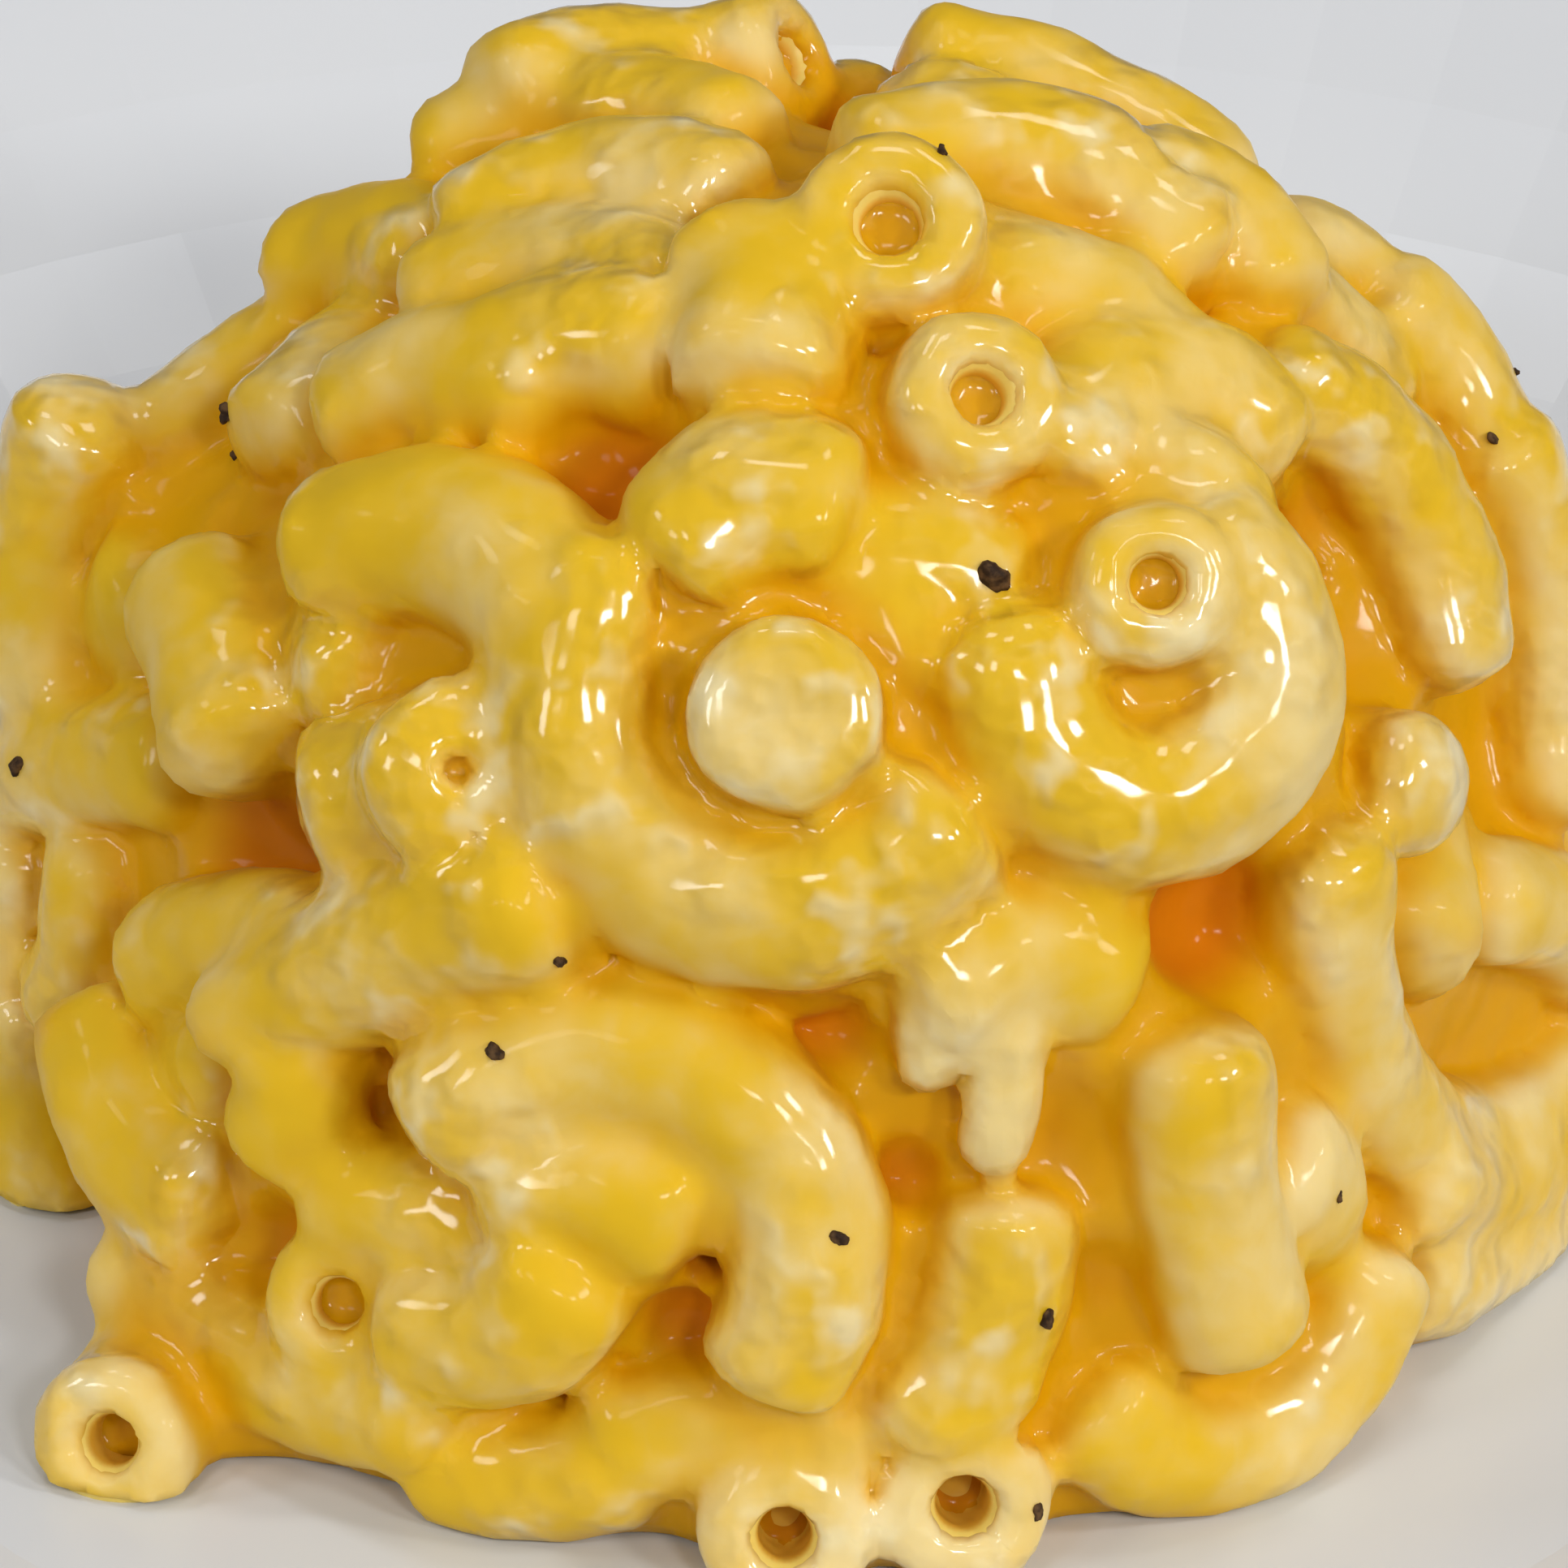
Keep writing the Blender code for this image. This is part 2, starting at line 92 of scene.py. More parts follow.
def mound_normal(point):
    """The mound's outward direction at a point on or near its surface."""
    east = point[0] - LEAN * max(point[2], 0.0)
    across = max(np.hypot(east, point[1]), 1e-6)
    wide, tall = MOUND_RADIUS - TUBE, MOUND_HEIGHT - TUBE
    side = SHOULDER * (across / wide) ** (SHOULDER - 1) / wide
    top = CROWN * (max(point[2], 0.0) / tall) ** (CROWN - 1) / tall
    return unit(np.array([side * east / across, side * point[1] / across, top - LEAN * side * east / across]))


def seen_at(across, up):
    """The mound's point that the diner sees at this place on the upright plane through AIM."""
    ray = unit(AIM + across * ACROSS + up * UP - SEAT)
    reach = np.arange(SEAT_DISTANCE - 60.0, SEAT_DISTANCE + 60.0, 0.5)
    points = SEAT + reach[:, None] * ray
    points = points[points[:, 2] >= 0.0]
    level = mound_level(points)
    hit = np.flatnonzero(level < 0.0)
    return points[hit[0] if len(hit) else int(np.argmin(level))]


def facing(point):
    """The way that an elbow on the mound faces: half outwards, half towards the diner."""
    return unit(0.45 * OUT + 0.55 * mound_normal(point))


def local_axes(normal):
    """Right, up and outward directions of a plane that faces along normal."""
    right = unit(ACROSS - normal * np.dot(ACROSS, normal))
    return right, np.cross(normal, right), normal


def laid(start, stop, bow, lift=0.0, tube=TUBE, lean=0.0, open=(0.0, 0.0)):
    """An elbow on the mound whose middle line runs from start to stop, as the diner sees them.

    Its middle is bowed by bow to the left of the way from start to stop; lift raises the
    elbow, one number or one for each end, and lean turns the bow outwards, in degrees.
    """
    lifts = lift if isinstance(lift, tuple) else (lift, lift)
    ends = [seen_at(*place) for place in (start, stop)]
    ends = [point + facing(point) * height for point, height in zip(ends, lifts)]
    middle, chord = (ends[0] + ends[1]) / 2, ends[1] - ends[0]
    length, way = np.linalg.norm(chord), unit(chord)
    out = facing(middle)
    left = unit(np.cross(out, way))
    side = (left * cos(radians(lean)) + np.cross(way, left) * sin(radians(lean))) * np.sign(bow)
    bow = abs(bow)
    bend = (length ** 2 / 4 + bow ** 2) / (2 * bow)
    half = asin(min(1.0, length / 2 / bend))
    half = pi - half if bow > bend else half
    return dict(centre=middle + side * (bow - bend), x=side, y=way, bend=bend, tube=tube,
                begin=-half, sweep=2 * half, lead=0.0, tail=0.0, open=open)


def curled(across, up, bend, begin, sweep, lift=0.0, swing=0.0, tube=TUBE, open=(0.0, 0.0)):
    """An elbow that curls round (across, up) by sweep degrees from begin; swing turns its right side in."""
    point = seen_at(across, up)
    right, rise, normal = local_axes(facing(point))
    turn = radians(swing)
    right, normal = right * cos(turn) - normal * sin(turn), normal * cos(turn) + right * sin(turn)
    return dict(centre=point + normal * lift, x=right, y=rise, bend=bend, tube=tube,
                begin=radians(begin), sweep=radians(sweep), lead=0.0, tail=0.0, open=open)


def poking(across, up, heading, bend=6.0, sweep=110.0, lift=0.0, tip=0.0, tube=TUBE, open=(0.45, 0.0)):
    """An elbow whose end shows at (across, up) and whose body dives in towards heading."""
    point = seen_at(across, up)
    right, rise, normal = local_axes(unit(0.7 * OUT + 0.3 * mound_normal(point)))
    way = right * cos(radians(heading)) + rise * sin(radians(heading))
    inward = way * sin(radians(tip)) - normal * cos(radians(tip))
    side = way * cos(radians(tip)) + normal * sin(radians(tip))
    return dict(centre=point + normal * lift + side * bend, x=-side, y=inward, bend=bend,
                tube=tube, begin=0.0, sweep=radians(sweep), lead=0.0, tail=0.0, open=open)


def centreline(elbow, step=0.9):
    """Points along the middle of an elbow, one every step."""
    ends = elbow["begin"], elbow["begin"] + elbow["sweep"]
    count = max(4, int(elbow["bend"] * elbow["sweep"] / step))
    angle = np.linspace(ends[0], ends[1], count)[:, None]
    points = elbow["centre"] + elbow["bend"] * (elbow["x"] * np.cos(angle) + elbow["y"] * np.sin(angle))
    ways = [elbow["y"] * cos(a) - elbow["x"] * sin(a) for a in ends]
    for length, way, first in ((elbow["lead"], -ways[0], True), (elbow["tail"], ways[1], False)):
        if length > 0.0:
            reach = np.linspace(0.0, length, max(2, int(length / step)) + 1)[1:, None]
            stretch = (points[0] if first else points[-1]) + reach * way
            points = np.vstack([stretch[::-1], points] if first else [points, stretch])
    return points


def served_side():
    """The elbows on the side that faces the diner, laid one by one from the middle outwards."""
    return [
        # the big curl in the middle, the end that it holds, and what lies round them
        laid((-7.9, 6.8), (4.8, -2.8), -5.9, lift=0.9),
        poking(0.2, 2.8, -90, lift=2.4, tube=3.7, open=(BLUNT, 0.0)),
        laid((-4.9, 6.8), (5.4, 5.6), 3.4, lift=-0.8, tube=2.9),
        laid((-2.4, 10.7), (-0.3, 11.3), 0.3, lift=0.9, tube=3.7),
        laid((3.2, 9.2), (7.2, 9.0), 0.4, lift=-0.9, tube=3.2),
        curled(14.2, 4.7, 5.0, 190, 215, lift=1.4, tube=3.4),
        poking(14.6, 8.0, 60, bend=4.0, sweep=90, lift=3.4, tube=3.2),
        poking(7.6, 15.3, -150, bend=5.0, sweep=100, lift=1.8, tip=10, tube=3.5),
        poking(4.3, 21.7, -20, bend=3.4, sweep=90, lift=3.0, tube=3.8),
        # the top
        poking(-1.2, 29.6, 185, bend=5.0, sweep=60, lift=0.2, tip=55, tube=3.3, open=(0.35, 0.0)),
        laid((-10.2, 29.0), (-5.6, 29.4), 0.4, tube=3.0),
        laid((-12.6, 26.2), (-3.0, 26.8), 1.2, lift=0.2, tube=2.9),
        laid((-11.6, 23.2), (-3.4, 24.2), 1.2, lift=0.6, tube=2.8),
        laid((-13.2, 20.6), (-6.0, 20.8), 0.8, lift=-0.4, tube=2.9),
        laid((-10.4, 17.6), (-6.2, 18.0), 0.4, lift=0.3, tube=3.1),
        laid((-1.2, 19.4), (-0.9, 17.9), 0.2, lift=0.8, tube=3.8),
        laid((5.5, 24.9), (15.3, 22.4), 1.6, lift=0.8, tube=3.5),
        laid((7.6, 30.2), (17.2, 25.9), 1.0, lift=-0.8, tube=2.9),
        laid((8.5, 20.3), (14.0, 18.6), 0.8, lift=-0.4, tube=3.2),
        laid((15.4, 23.6), (18.9, 20.7), 0.5, lift=2.0, tube=2.6),
        laid((21.8, 21.4), (25.4, 17.2), 0.6, lift=-0.2, tube=3.1),
        laid((11.8, 14.2), (18.2, 15.2), 1.6, tube=3.3),
        laid((21.0, 15.6), (26.6, 6.5), 1.5, lift=1.2, tube=2.8),
        laid((26.4, 19.3), (29.5, 13.5), 0.6, lift=-0.6, tube=2.8),
        laid((30.3, 13.0), (31.8, 1.0), 0.8, lift=-0.4, tube=2.9),
        laid((19.6, 20.2), (23.4, 17.0), 0.5, lift=-0.4, tube=3.0),
        # the left side
        laid((-18.6, 21.7), (-14.9, 22.0), 0.4, lift=-0.2, tube=3.1),
        laid((-16.3, 15.9), (-11.0, 16.6), 0.5, lift=0.2, tube=3.1),
        laid((-16.6, 9.7), (-9.9, 8.0), 1.0, lift=0.8, tube=3.6),
        laid((-23.0, 6.4), (-22.0, 3.0), 0.2, lift=1.2, tube=3.4),
        laid((-29.6, 13.8), (-30.6, 5.5), -0.8, tube=3.1),
        laid((-25.4, 14.6), (-20.4, 18.4), 0.3, lift=-0.6, tube=2.9),
        laid((-23.4, 12.4), (-18.0, 5.2), 0.6, lift=-1.0, tube=3.0),
        poking(-13.4, 0.4, 195, bend=3.2, sweep=80, lift=1.3, tip=10, tube=3.7, open=(PITTED, 0.0)),
        laid((-31.8, 0.6), (-25.8, 0.9), 0.3, lift=-0.6, tube=2.9),
        laid((-25.0, -7.2), (-20.5, -6.8), 0.5, lift=-0.4, tube=2.9),
        laid((-28.2, -4.0), (-29.0, -8.5), 0.5, lift=0.3, tube=2.5),
        laid((-32.6, -3.5), (-33.2, -9.5), -0.5, lift=-0.5, tube=2.6),
        laid((-32.2, -10.0), (-30.6, -16.6), -0.4, lift=-0.4, tube=3.1),
        # the lower left
        laid((-27.0, -11.8), (-24.6, -16.4), -0.5, lift=0.4, tube=3.6),
        laid((-11.0, -5.0), (-20.2, -9.4), -0.5, lift=1.5, tube=3.25),
        laid((-19.6, -11.6), (-19.9, -13.8), 0.4, lift=1.5, tube=2.5),
        poking(-26.5, -26.6, 75, bend=7.0, sweep=100, lift=3.0, tube=3.4, open=(0.7, 0.0)),
        laid((-25.0, -20.6), (-15.5, -25.4), -0.9, lift=0.5, tube=3.3),
        poking(-18.0, -21.3, -10, lift=0.8, tube=3.1),
        poking(-14.8, -17.9, 30, lift=-0.4, tube=2.9, open=(0.0, 0.0)),
        laid((-17.5, -17.2), (-13.0, -18.6), 0.4, lift=-0.2, tube=2.8),
        laid((-13.2, -22.2), (-9.6, -20.9), -0.5, lift=1.0, tube=3.3),
        laid((-9.6, -16.5), (-6.0, -17.2), 0.3, lift=0.4, tube=3.1),
        laid((-12.4, -12.7), (0.2, -22.2), 6.3, lift=(1.4, 1.6), tube=3.15),
        laid((-5.3, -26.8), (1.2, -26.9), 0.3, lift=-0.6, tube=3.1),
        laid((-13.0, -28.2), (-8.0, -28.4), -0.3, lift=-0.4, tube=2.9),
        poking(0.0, -30.6, 90, lift=1.4, tube=3.5, open=(0.9, 0.0)),
        poking(7.2, -29.3, 100, lift=1.4, tube=3.5, open=(0.9, 0.0)),
        # the right side
        laid((9.0, -19.2), (6.7, -24.8), 0.5, lift=0.4, tube=3.1),
        laid((7.6, -7.6), (11.6, -7.3), 0.5, lift=0.2, tube=3.2),
        laid((5.6, -10.0), (5.8, -11.4), 0.2, lift=1.2, tube=1.2),
        laid((8.8, -9.8), (8.5, -14.4), 0.3, lift=1.6, tube=1.5),
        laid((16.5, -12.4), (17.5, -20.5), -0.3, lift=2.2, tube=3.1),
        laid((22.0, -4.2), (31.0, -12.4), -5.8, lift=0.8, tube=2.9),
        laid((26.6, -16.4), (32.0, -14.5), -0.8, lift=-0.4, tube=3.0),
        laid((29.0, -4.9), (32.5, -6.5), 0.5, lift=0.4, tube=2.7),
        poking(25.0, 0.0, 175, bend=5.0, sweep=95, lift=1.3, tip=35, tube=2.9, open=(0.0, 0.0)),
        laid((13.6, -26.3), (23.2, -21.8), -2.8, lift=0.4, tube=3.1),
        laid((26.5, -20.4), (32.0, -17.2), -0.5, lift=-0.4, tube=2.8),
    ]


# ---------------------------------------------------------------- the rest of the pile

LAYERS = (0.0, -1.5, -3.0, -5.0, -8.0)  # mm that each packing lies below the mound's outline
TRIES = (2500, 3000, 3000, 2500, 1200)  # elbows tried in each
NEAREST = (5.3, 4.6, 4.2, 4.0, 4.4)     # mm kept between the middles of two elbows
BENDS = (5.0, 8.0)              # range of bend radius
SWEEPS = (100, 190)             # range of sweep in degrees
SEED = 11
HELD_BACK = -2.5                # the layers above this one leave the served side as it is laid
KEPT_CLEAR = (                  # (across, up, radius) of the gaps that they leave, as the diner sees them
    (3.2, 31.6, 2.4), (-22.5, -3.0, 1.0), (17.4, -6.2, 0.6),
    (23.6, 3.0, 0.2), (-7.6, 13.0, 0.2), (-3.0, -19.0, 0.2), (1.2, -10.0, 0.2),
)


def as_seen(points):
    """Where the diner sees points of shape (n, 3): across and up on the upright plane through AIM."""
    away = points - SEAT
    return np.column_stack((away @ ACROSS, away @ UP)) * SEAT_DISTANCE / -(away @ OUT)[:, None]


def in_a_gap(points):
    seen = as_seen(points)
    return any(np.hypot(*(seen - spot[:2]).T).min() < spot[2] + TUBE for spot in KEPT_CLEAR)


def tumbled(rng, layer):
    """An elbow thrown on the mound at random, lying along its surface."""
    turn = rng.uniform(0.0, 2.0 * pi)
    level = rng.uniform(0.04, 1.0)
    height = (MOUND_HEIGHT - TUBE) * level ** 0.8
    wide = (1.0 - (height / (MOUND_HEIGHT - TUBE)) ** CROWN) ** (1.0 / SHOULDER)
    radius = (MOUND_RADIUS - TUBE) * wide
    point = np.array([radius * cos(turn) + LEAN * height, radius * sin(turn), height])
    normal = mound_normal(point)
    way = unit(np.cross(normal, rng.normal(size=3)))
    side = np.cross(normal, way)
    tip = radians(rng.uniform(-35, 35))
    side = side * cos(tip) + normal * sin(tip)
    bend = rng.uniform(*BENDS)
    sweep = radians(rng.uniform(*SWEEPS))
    centre = point + normal * layer - way * bend * 0.8
    return dict(centre=centre, x=way, y=side, bend=bend, tube=TUBE, out=normal,
                begin=-sweep / 2, sweep=sweep, lead=0.0, tail=0.0)


def packed_elbows():
    """The served side, then seeded layers that fill the sides, the back and the gaps."""
    rng = np.random.default_rng(SEED)
    elbows = served_side()
    middles = np.vstack([centreline(e) for e in elbows])
    for layer, tries, nearest in zip(LAYERS, TRIES, NEAREST):
        for _ in range(tries):
            elbow = tumbled(rng, layer)
            if layer > HELD_BACK and np.dot(elbow["out"], OUT) > 0.3:
                continue
            points = centreline(elbow, step=1.8)
            rise = max(0.0, TUBE - points[:, 2].min())      # none sinks into the bowl
            points[:, 2] += rise
            elbow["centre"][2] += rise
            faces_seat = np.dot(elbow["out"], OUT) > -0.2
            if mound_level(points).max() > 0.1 or (faces_seat and in_a_gap(points)):
                continue
            close = middles[np.linalg.norm(middles - points.mean(axis=0), axis=1) < 20.0]
            apart = np.linalg.norm(points[:, None] - close[None], axis=2)
            if apart.size == 0 or apart.min() > nearest:
                elbows.append(elbow)
                middles = np.vstack([middles, centreline(elbow)])
    return elbows


def clear_ends(number, elbows):
    """Whether nothing lies in front of each end of an elbow."""
    others = [centreline(e) for k, e in enumerate(elbows) if k != number]
    others = np.vstack(others)
    line = centreline(elbows[number], step=0.3)
    for end, inner in ((line[0], line[1]), (line[-1], line[-2])):
        ahead = end + unit(end - inner) * (elbows[number]["tube"] + 1.5)
        yield mound_level(ahead) > -0.3 and np.linalg.norm(others - ahead, axis=1).min() > TUBE + 1.2


# ---------------------------------------------------------------- building node trees

class Wire:
    """An output socket of a node, which can stand in a sum."""

    def __init__(self, tree, socket):
        self.tree = tree
        self.socket = socket

    def number(self, operation, *others):
        sockets = dict(enumerate((self, *others)))
        return self.tree.node("ShaderNodeMath", {"operation": operation}, sockets)

    def vector(self, operation, *others, output=0):
        sockets = dict(enumerate((self, *others)))
        return self.tree.node("ShaderNodeVectorMath", {"operation": operation}, sockets, output)

    def scaled(self, factor):
        settings = {"operation": "SCALE"}
        return self.tree.node("ShaderNodeVectorMath", settings, {0: self, "Scale": factor})

    def twin(self, name):
        """Another output of the same node."""
        return Wire(self.tree, self.socket.node.outputs[name])

    def part(self, axis):
        """X, Y or Z of a vector."""
        return self.tree.node("ShaderNodeSeparateXYZ", {}, {0: self}).twin(axis)

    def __add__(self, other):
        return self.number("ADD", other)

    def __sub__(self, other):
        return self.number("SUBTRACT", other)

    def __rsub__(self, other):
        return self.number("MULTIPLY_ADD", -1.0, other)

    def __mul__(self, other):
        return self.number("MULTIPLY", other)

    def __truediv__(self, other):
        return self.number("DIVIDE", other)

    def __pow__(self, other):
        return self.number("POWER", other)

    __radd__ = __add__
    __rmul__ = __mul__


class Tree:
    """A node tree, with one way to add a node."""

    def __init__(self, tree):
        self.tree = tree

    def node(self, kind, settings=(), sockets=(), output=0):
        made = self.tree.nodes.new(kind)
        for name, value in dict(settings).items():
            setattr(made, name, value)
        for name, value in dict(sockets).items():
            if isinstance(value, Wire):
                self.tree.links.new(value.socket, made.inputs[name])
            else:
                made.inputs[name].default_value = value
        return Wire(self, made.outputs[output])

    def noise(self, place, scale, detail=2.0, roughness=0.5, distortion=0.0):
        sockets = {"Vector": place, "Scale": scale, "Detail": detail,
                   "Roughness": roughness, "Distortion": distortion}
        return self.node("ShaderNodeTexNoise", {}, sockets, 0)

    def ramp(self, value, low, high, to_low=0.0, to_high=1.0):
        """value mapped from low..high onto to_low..to_high with soft ends."""
        settings = {"interpolation_type": "SMOOTHSTEP"}
        sockets = {"Value": value, "From Min": low, "From Max": high,
                   "To Min": to_low, "To Max": to_high}
        return self.node("ShaderNodeMapRange", settings, sockets)


def geometry_tree(name, inputs):
    """A geometry tree with named inputs: the tree, its inputs as wires, and its output node."""
    group = bpy.data.node_groups.new(name, "GeometryNodeTree")
    group.interface.new_socket("Geometry", in_out="INPUT", socket_type="NodeSocketGeometry")
    for title, kind in inputs.items():
        group.interface.new_socket(title, in_out="INPUT", socket_type="NodeSocket" + kind)
    group.interface.new_socket("Geometry", in_out="OUTPUT", socket_type="NodeSocketGeometry")
    tree = Tree(group)
    start = tree.node("NodeGroupInput")
    given = {title: start.twin(title) for title in ("Geometry", *inputs)}
    return tree, given, group.nodes.new("NodeGroupOutput")


def finish_tree(tree, geometry, material, output):
    """Realize what is left of instances, shade it smooth and give it its material."""
    real = tree.node("GeometryNodeRealizeInstances", {}, {"Geometry": geometry})
    smooth = tree.node("GeometryNodeSetShadeSmooth", {}, {"Geometry": real})
    done = tree.node("GeometryNodeSetMaterial", {}, {"Geometry": smooth, "Material": material})
    tree.tree.links.new(done.socket, output.inputs[0])
    return tree.tree


def stored(tree, geometry, name, value):
    sockets = {"Geometry": geometry, "Name": name, "Value": value}
    return tree.node("GeometryNodeStoreNamedAttribute", {}, sockets)


def named(tree, name, data_type="FLOAT"):
    return tree.node("GeometryNodeInputNamedAttribute", {"data_type": data_type}, {"Name": name})


def carried(tree, points, place, *titles):
    """What the point of a mesh nearest to a place carries: its position first, then attributes."""
    nearest = tree.node("GeometryNodeSampleNearest", {}, {0: points, "Sample Position": place})
    values = [tree.node("GeometryNodeInputPosition")]
    kinds = ["FLOAT_VECTOR"]
    for title, kind in titles:
        values.append(named(tree, title, kind))
        kinds.append(kind)
    return [tree.node("GeometryNodeSampleIndex", {"data_type": kind}, {0: points, 1: value, 2: nearest})
            for kind, value in zip(kinds, values)]


def plain_object(name, mesh):
    obj = bpy.data.objects.new(name, mesh)
    bpy.context.scene.collection.objects.link(obj)
    return obj


def points_object(name, points, attributes, edges=()):
    """A mesh of loose points, or points joined by edges, that carry named values."""
    mesh = bpy.data.meshes.new(name)
    mesh.from_pydata([tuple(point) for point in points], list(edges), [])
    for title, values in attributes.items():
        values = np.array(values, dtype=float)
        kind, slot = ("FLOAT", "value") if values.ndim == 1 else ("FLOAT_VECTOR", "vector")
        mesh.attributes.new(title, kind, "POINT").data.foreach_set(slot, values.ravel())
    return plain_object(name, mesh)


def grown(name, source, group, values):
    """The plain mesh that a geometry tree makes of a source object."""
    modifier = source.modifiers.new(name, "NODES")
    modifier.node_group = group
    for item in group.interface.items_tree:
        if item.in_out == "INPUT" and item.name in values:
            modifier[item.identifier] = values[item.name]
    graph = bpy.context.evaluated_depsgraph_get()
    mesh = bpy.data.meshes.new_from_object(source.evaluated_get(graph))
    mesh.name = name
    source.modifiers.remove(modifier)
    bpy.data.objects.remove(source)
    return plain_object(name, mesh)


def skinned(name, rings, first_pole, last_pole):
    """A closed mesh from a stack of equal rings of points, with a pole at each end."""
    shape = bmesh.new()
    loops = [[shape.verts.new(point) for point in ring] for ring in rings]
    count = len(loops[0])
    for lower, upper in zip(loops, loops[1:]):
        for i in range(count):
            j = (i + 1) % count
            shape.faces.new((lower[i], lower[j], upper[j], upper[i]))
    for loop, pole in ((loops[0], first_pole), (loops[-1], last_pole)):
        tip = shape.verts.new(pole)
        for i in range(count):
            shape.faces.new((loop[i], loop[(i + 1) % count], tip))
    bmesh.ops.recalc_face_normals(shape, faces=shape.faces)
    mesh = bpy.data.meshes.new(name)
    shape.to_mesh(mesh)
    shape.free()
    mesh.shade_smooth()
    return mesh


# ---------------------------------------------------------------- the elbows of macaroni

PASTA = 0.84                    # an elbow's own radius, of its radius with the sauce on it
BORE = 0.36                     # its hole's radius
OVERHANG = 0.58                 # how far an end runs on past the middle line, in coated radii
LIP = 0.24                      # how far a cut end rounds over
COVERED = 0.2                   # of that overhang is left where the sauce covers the end


def straight_blank(name, sides, steps):
    """One elbow before it is bent, holed at both ends and 1 in coated radius.

    Along Z, 0 to 1 is the length of its middle line, and what lies beyond is in coated radii.
    """
    turns = np.linspace(0.0, 2.0 * pi, sides, endpoint=False)
    middle, half = PASTA * (1.0 + BORE) / 2.0, PASTA * (1.0 - BORE) / 2.0
    hole = PASTA * BORE
    lip = [(middle - half * cos(t), LIP - OVERHANG - LIP * sin(t)) for t in np.linspace(0.0, pi, 7)]
    begin = [(hole * 0.8, 0.09), (hole, 0.06), (hole, -0.2)] + lip
    side = [(PASTA, s) for s in np.linspace(0.0, 1.0, steps + 1)]
    end = [(r, 1.0 - z) for r, z in reversed(begin)]
    rings = [[(r * cos(t), r * sin(t), z) for t in turns] for r, z in begin + side + end]
    return skinned(name, rings, (0.0, 0.0, 0.075), (0.0, 0.0, 0.925))


def macaroni_tree():
    """Bends a straight blank along each elbow's own arc and makes it a little uneven."""
    kinds = {"Blank": "Object", "Wobble": "Float", "Dents": "Float", "Material": "Material"}
    tree, given, output = geometry_tree("macaroni", kinds)
    blank = tree.node("GeometryNodeObjectInfo", {}, {"Object": given["Blank"]}).twin("Geometry")
    placed = tree.node("GeometryNodeInstanceOnPoints", {}, {"Points": given["Geometry"], "Instance": blank})
    pasta = tree.node("GeometryNodeRealizeInstances", {}, {"Geometry": placed})

    place = tree.node("GeometryNodeInputPosition")
    wide, deep, along = (place.part(axis) for axis in "XYZ")
    radius = place.vector("MULTIPLY", (1.0, 1.0, 0.0)).vector("LENGTH", output=1)
    # inside: the wall of the bore, which the pasta material paints in shade
    pasta = stored(tree, pasta, "inside", radius.number("LESS_THAN", PASTA * BORE + 0.01))
    tube, bend = named(tree, "tube"), named(tree, "bend")
    lead, sweep, tail = (named(tree, name) for name in ("lead", "sweep", "tail"))
    inner = along.number("MINIMUM", 1.0).number("MAXIMUM", 0.0)
    reach = inner * (lead + bend * sweep + tail) - lead
    on_arc = reach.number("MAXIMUM", 0.0).number("MINIMUM", bend * sweep)
    over = named(tree, "first_over") * along.number("LESS_THAN", 0.5)
    over = over + named(tree, "last_over") * along.number("GREATER_THAN", 0.5)
    past = reach - on_arc + (along - inner) * tube * over
    angle = named(tree, "begin") + on_arc / bend
    side, way = named(tree, "side", "FLOAT_VECTOR"), named(tree, "way", "FLOAT_VECTOR")
    cosine, sine = angle.number("COSINE"), angle.number("SINE")
    outward = side.scaled(cosine).vector("ADD", way.scaled(sine))
    onward = way.scaled(cosine).vector("SUBTRACT", side.scaled(sine))
    across = side.vector("CROSS_PRODUCT", way)
    spot = named(tree, "heart", "FLOAT_VECTOR").vector("ADD", outward.scaled(bend + wide * tube))
    spot = spot.vector("ADD", onward.scaled(past)).vector("ADD", across.scaled(deep * tube))
    pasta = tree.node("GeometryNodeSetPosition", {}, {"Geometry": pasta, "Position": spot})

    here = tree.node("GeometryNodeInputPosition")
    normal = tree.node("GeometryNodeInputNormal")
    swell = (tree.noise(here, 150.0, 1.0) - 0.5) * given["Wobble"] * 2.0
    dent = (tree.noise(here, 520.0, 1.0) - 0.5) * given["Dents"] * 2.0
    push = normal.scaled(swell + dent)
    pasta = tree.node("GeometryNodeSetPosition", {}, {"Geometry": pasta, "Offset": push})
    return finish_tree(tree, pasta, given["Material"], output)


def make_macaroni(name, elbows, sides, steps, material, group):
    """The elbows as real pipes: one point for each carries its bend, size and place."""
    blank = plain_object(name + "_blank", straight_blank(name + "_blank", sides, steps))
    carried_values = {
        "heart": [e["centre"] * MM + LIFTED for e in elbows],
        "side": [e["x"] for e in elbows],
        "way": [e["y"] for e in elbows],
        "begin": [e["begin"] for e in elbows],
        "sweep": [e["sweep"] for e in elbows],
        "first_over": [1.0 if e["open"][0] > 0.0 else COVERED for e in elbows],
        "last_over": [1.0 if e["open"][1] > 0.0 else COVERED for e in elbows],
    }
    for title in ("bend", "tube", "lead", "tail"):
        carried_values[title] = [e[title] * MM for e in elbows]
    source = points_object(name + "_points", [(0.0, 0.0, 0.0)] * len(elbows), carried_values)
    values = {"Blank": blank, "Wobble": 0.10 * MM, "Dents": 0.03 * MM, "Material": material}
    piece = grown(name, source, group, values)
    bpy.data.objects.remove(blank)
    return piece


# ---------------------------------------------------------------- the cheese sauce

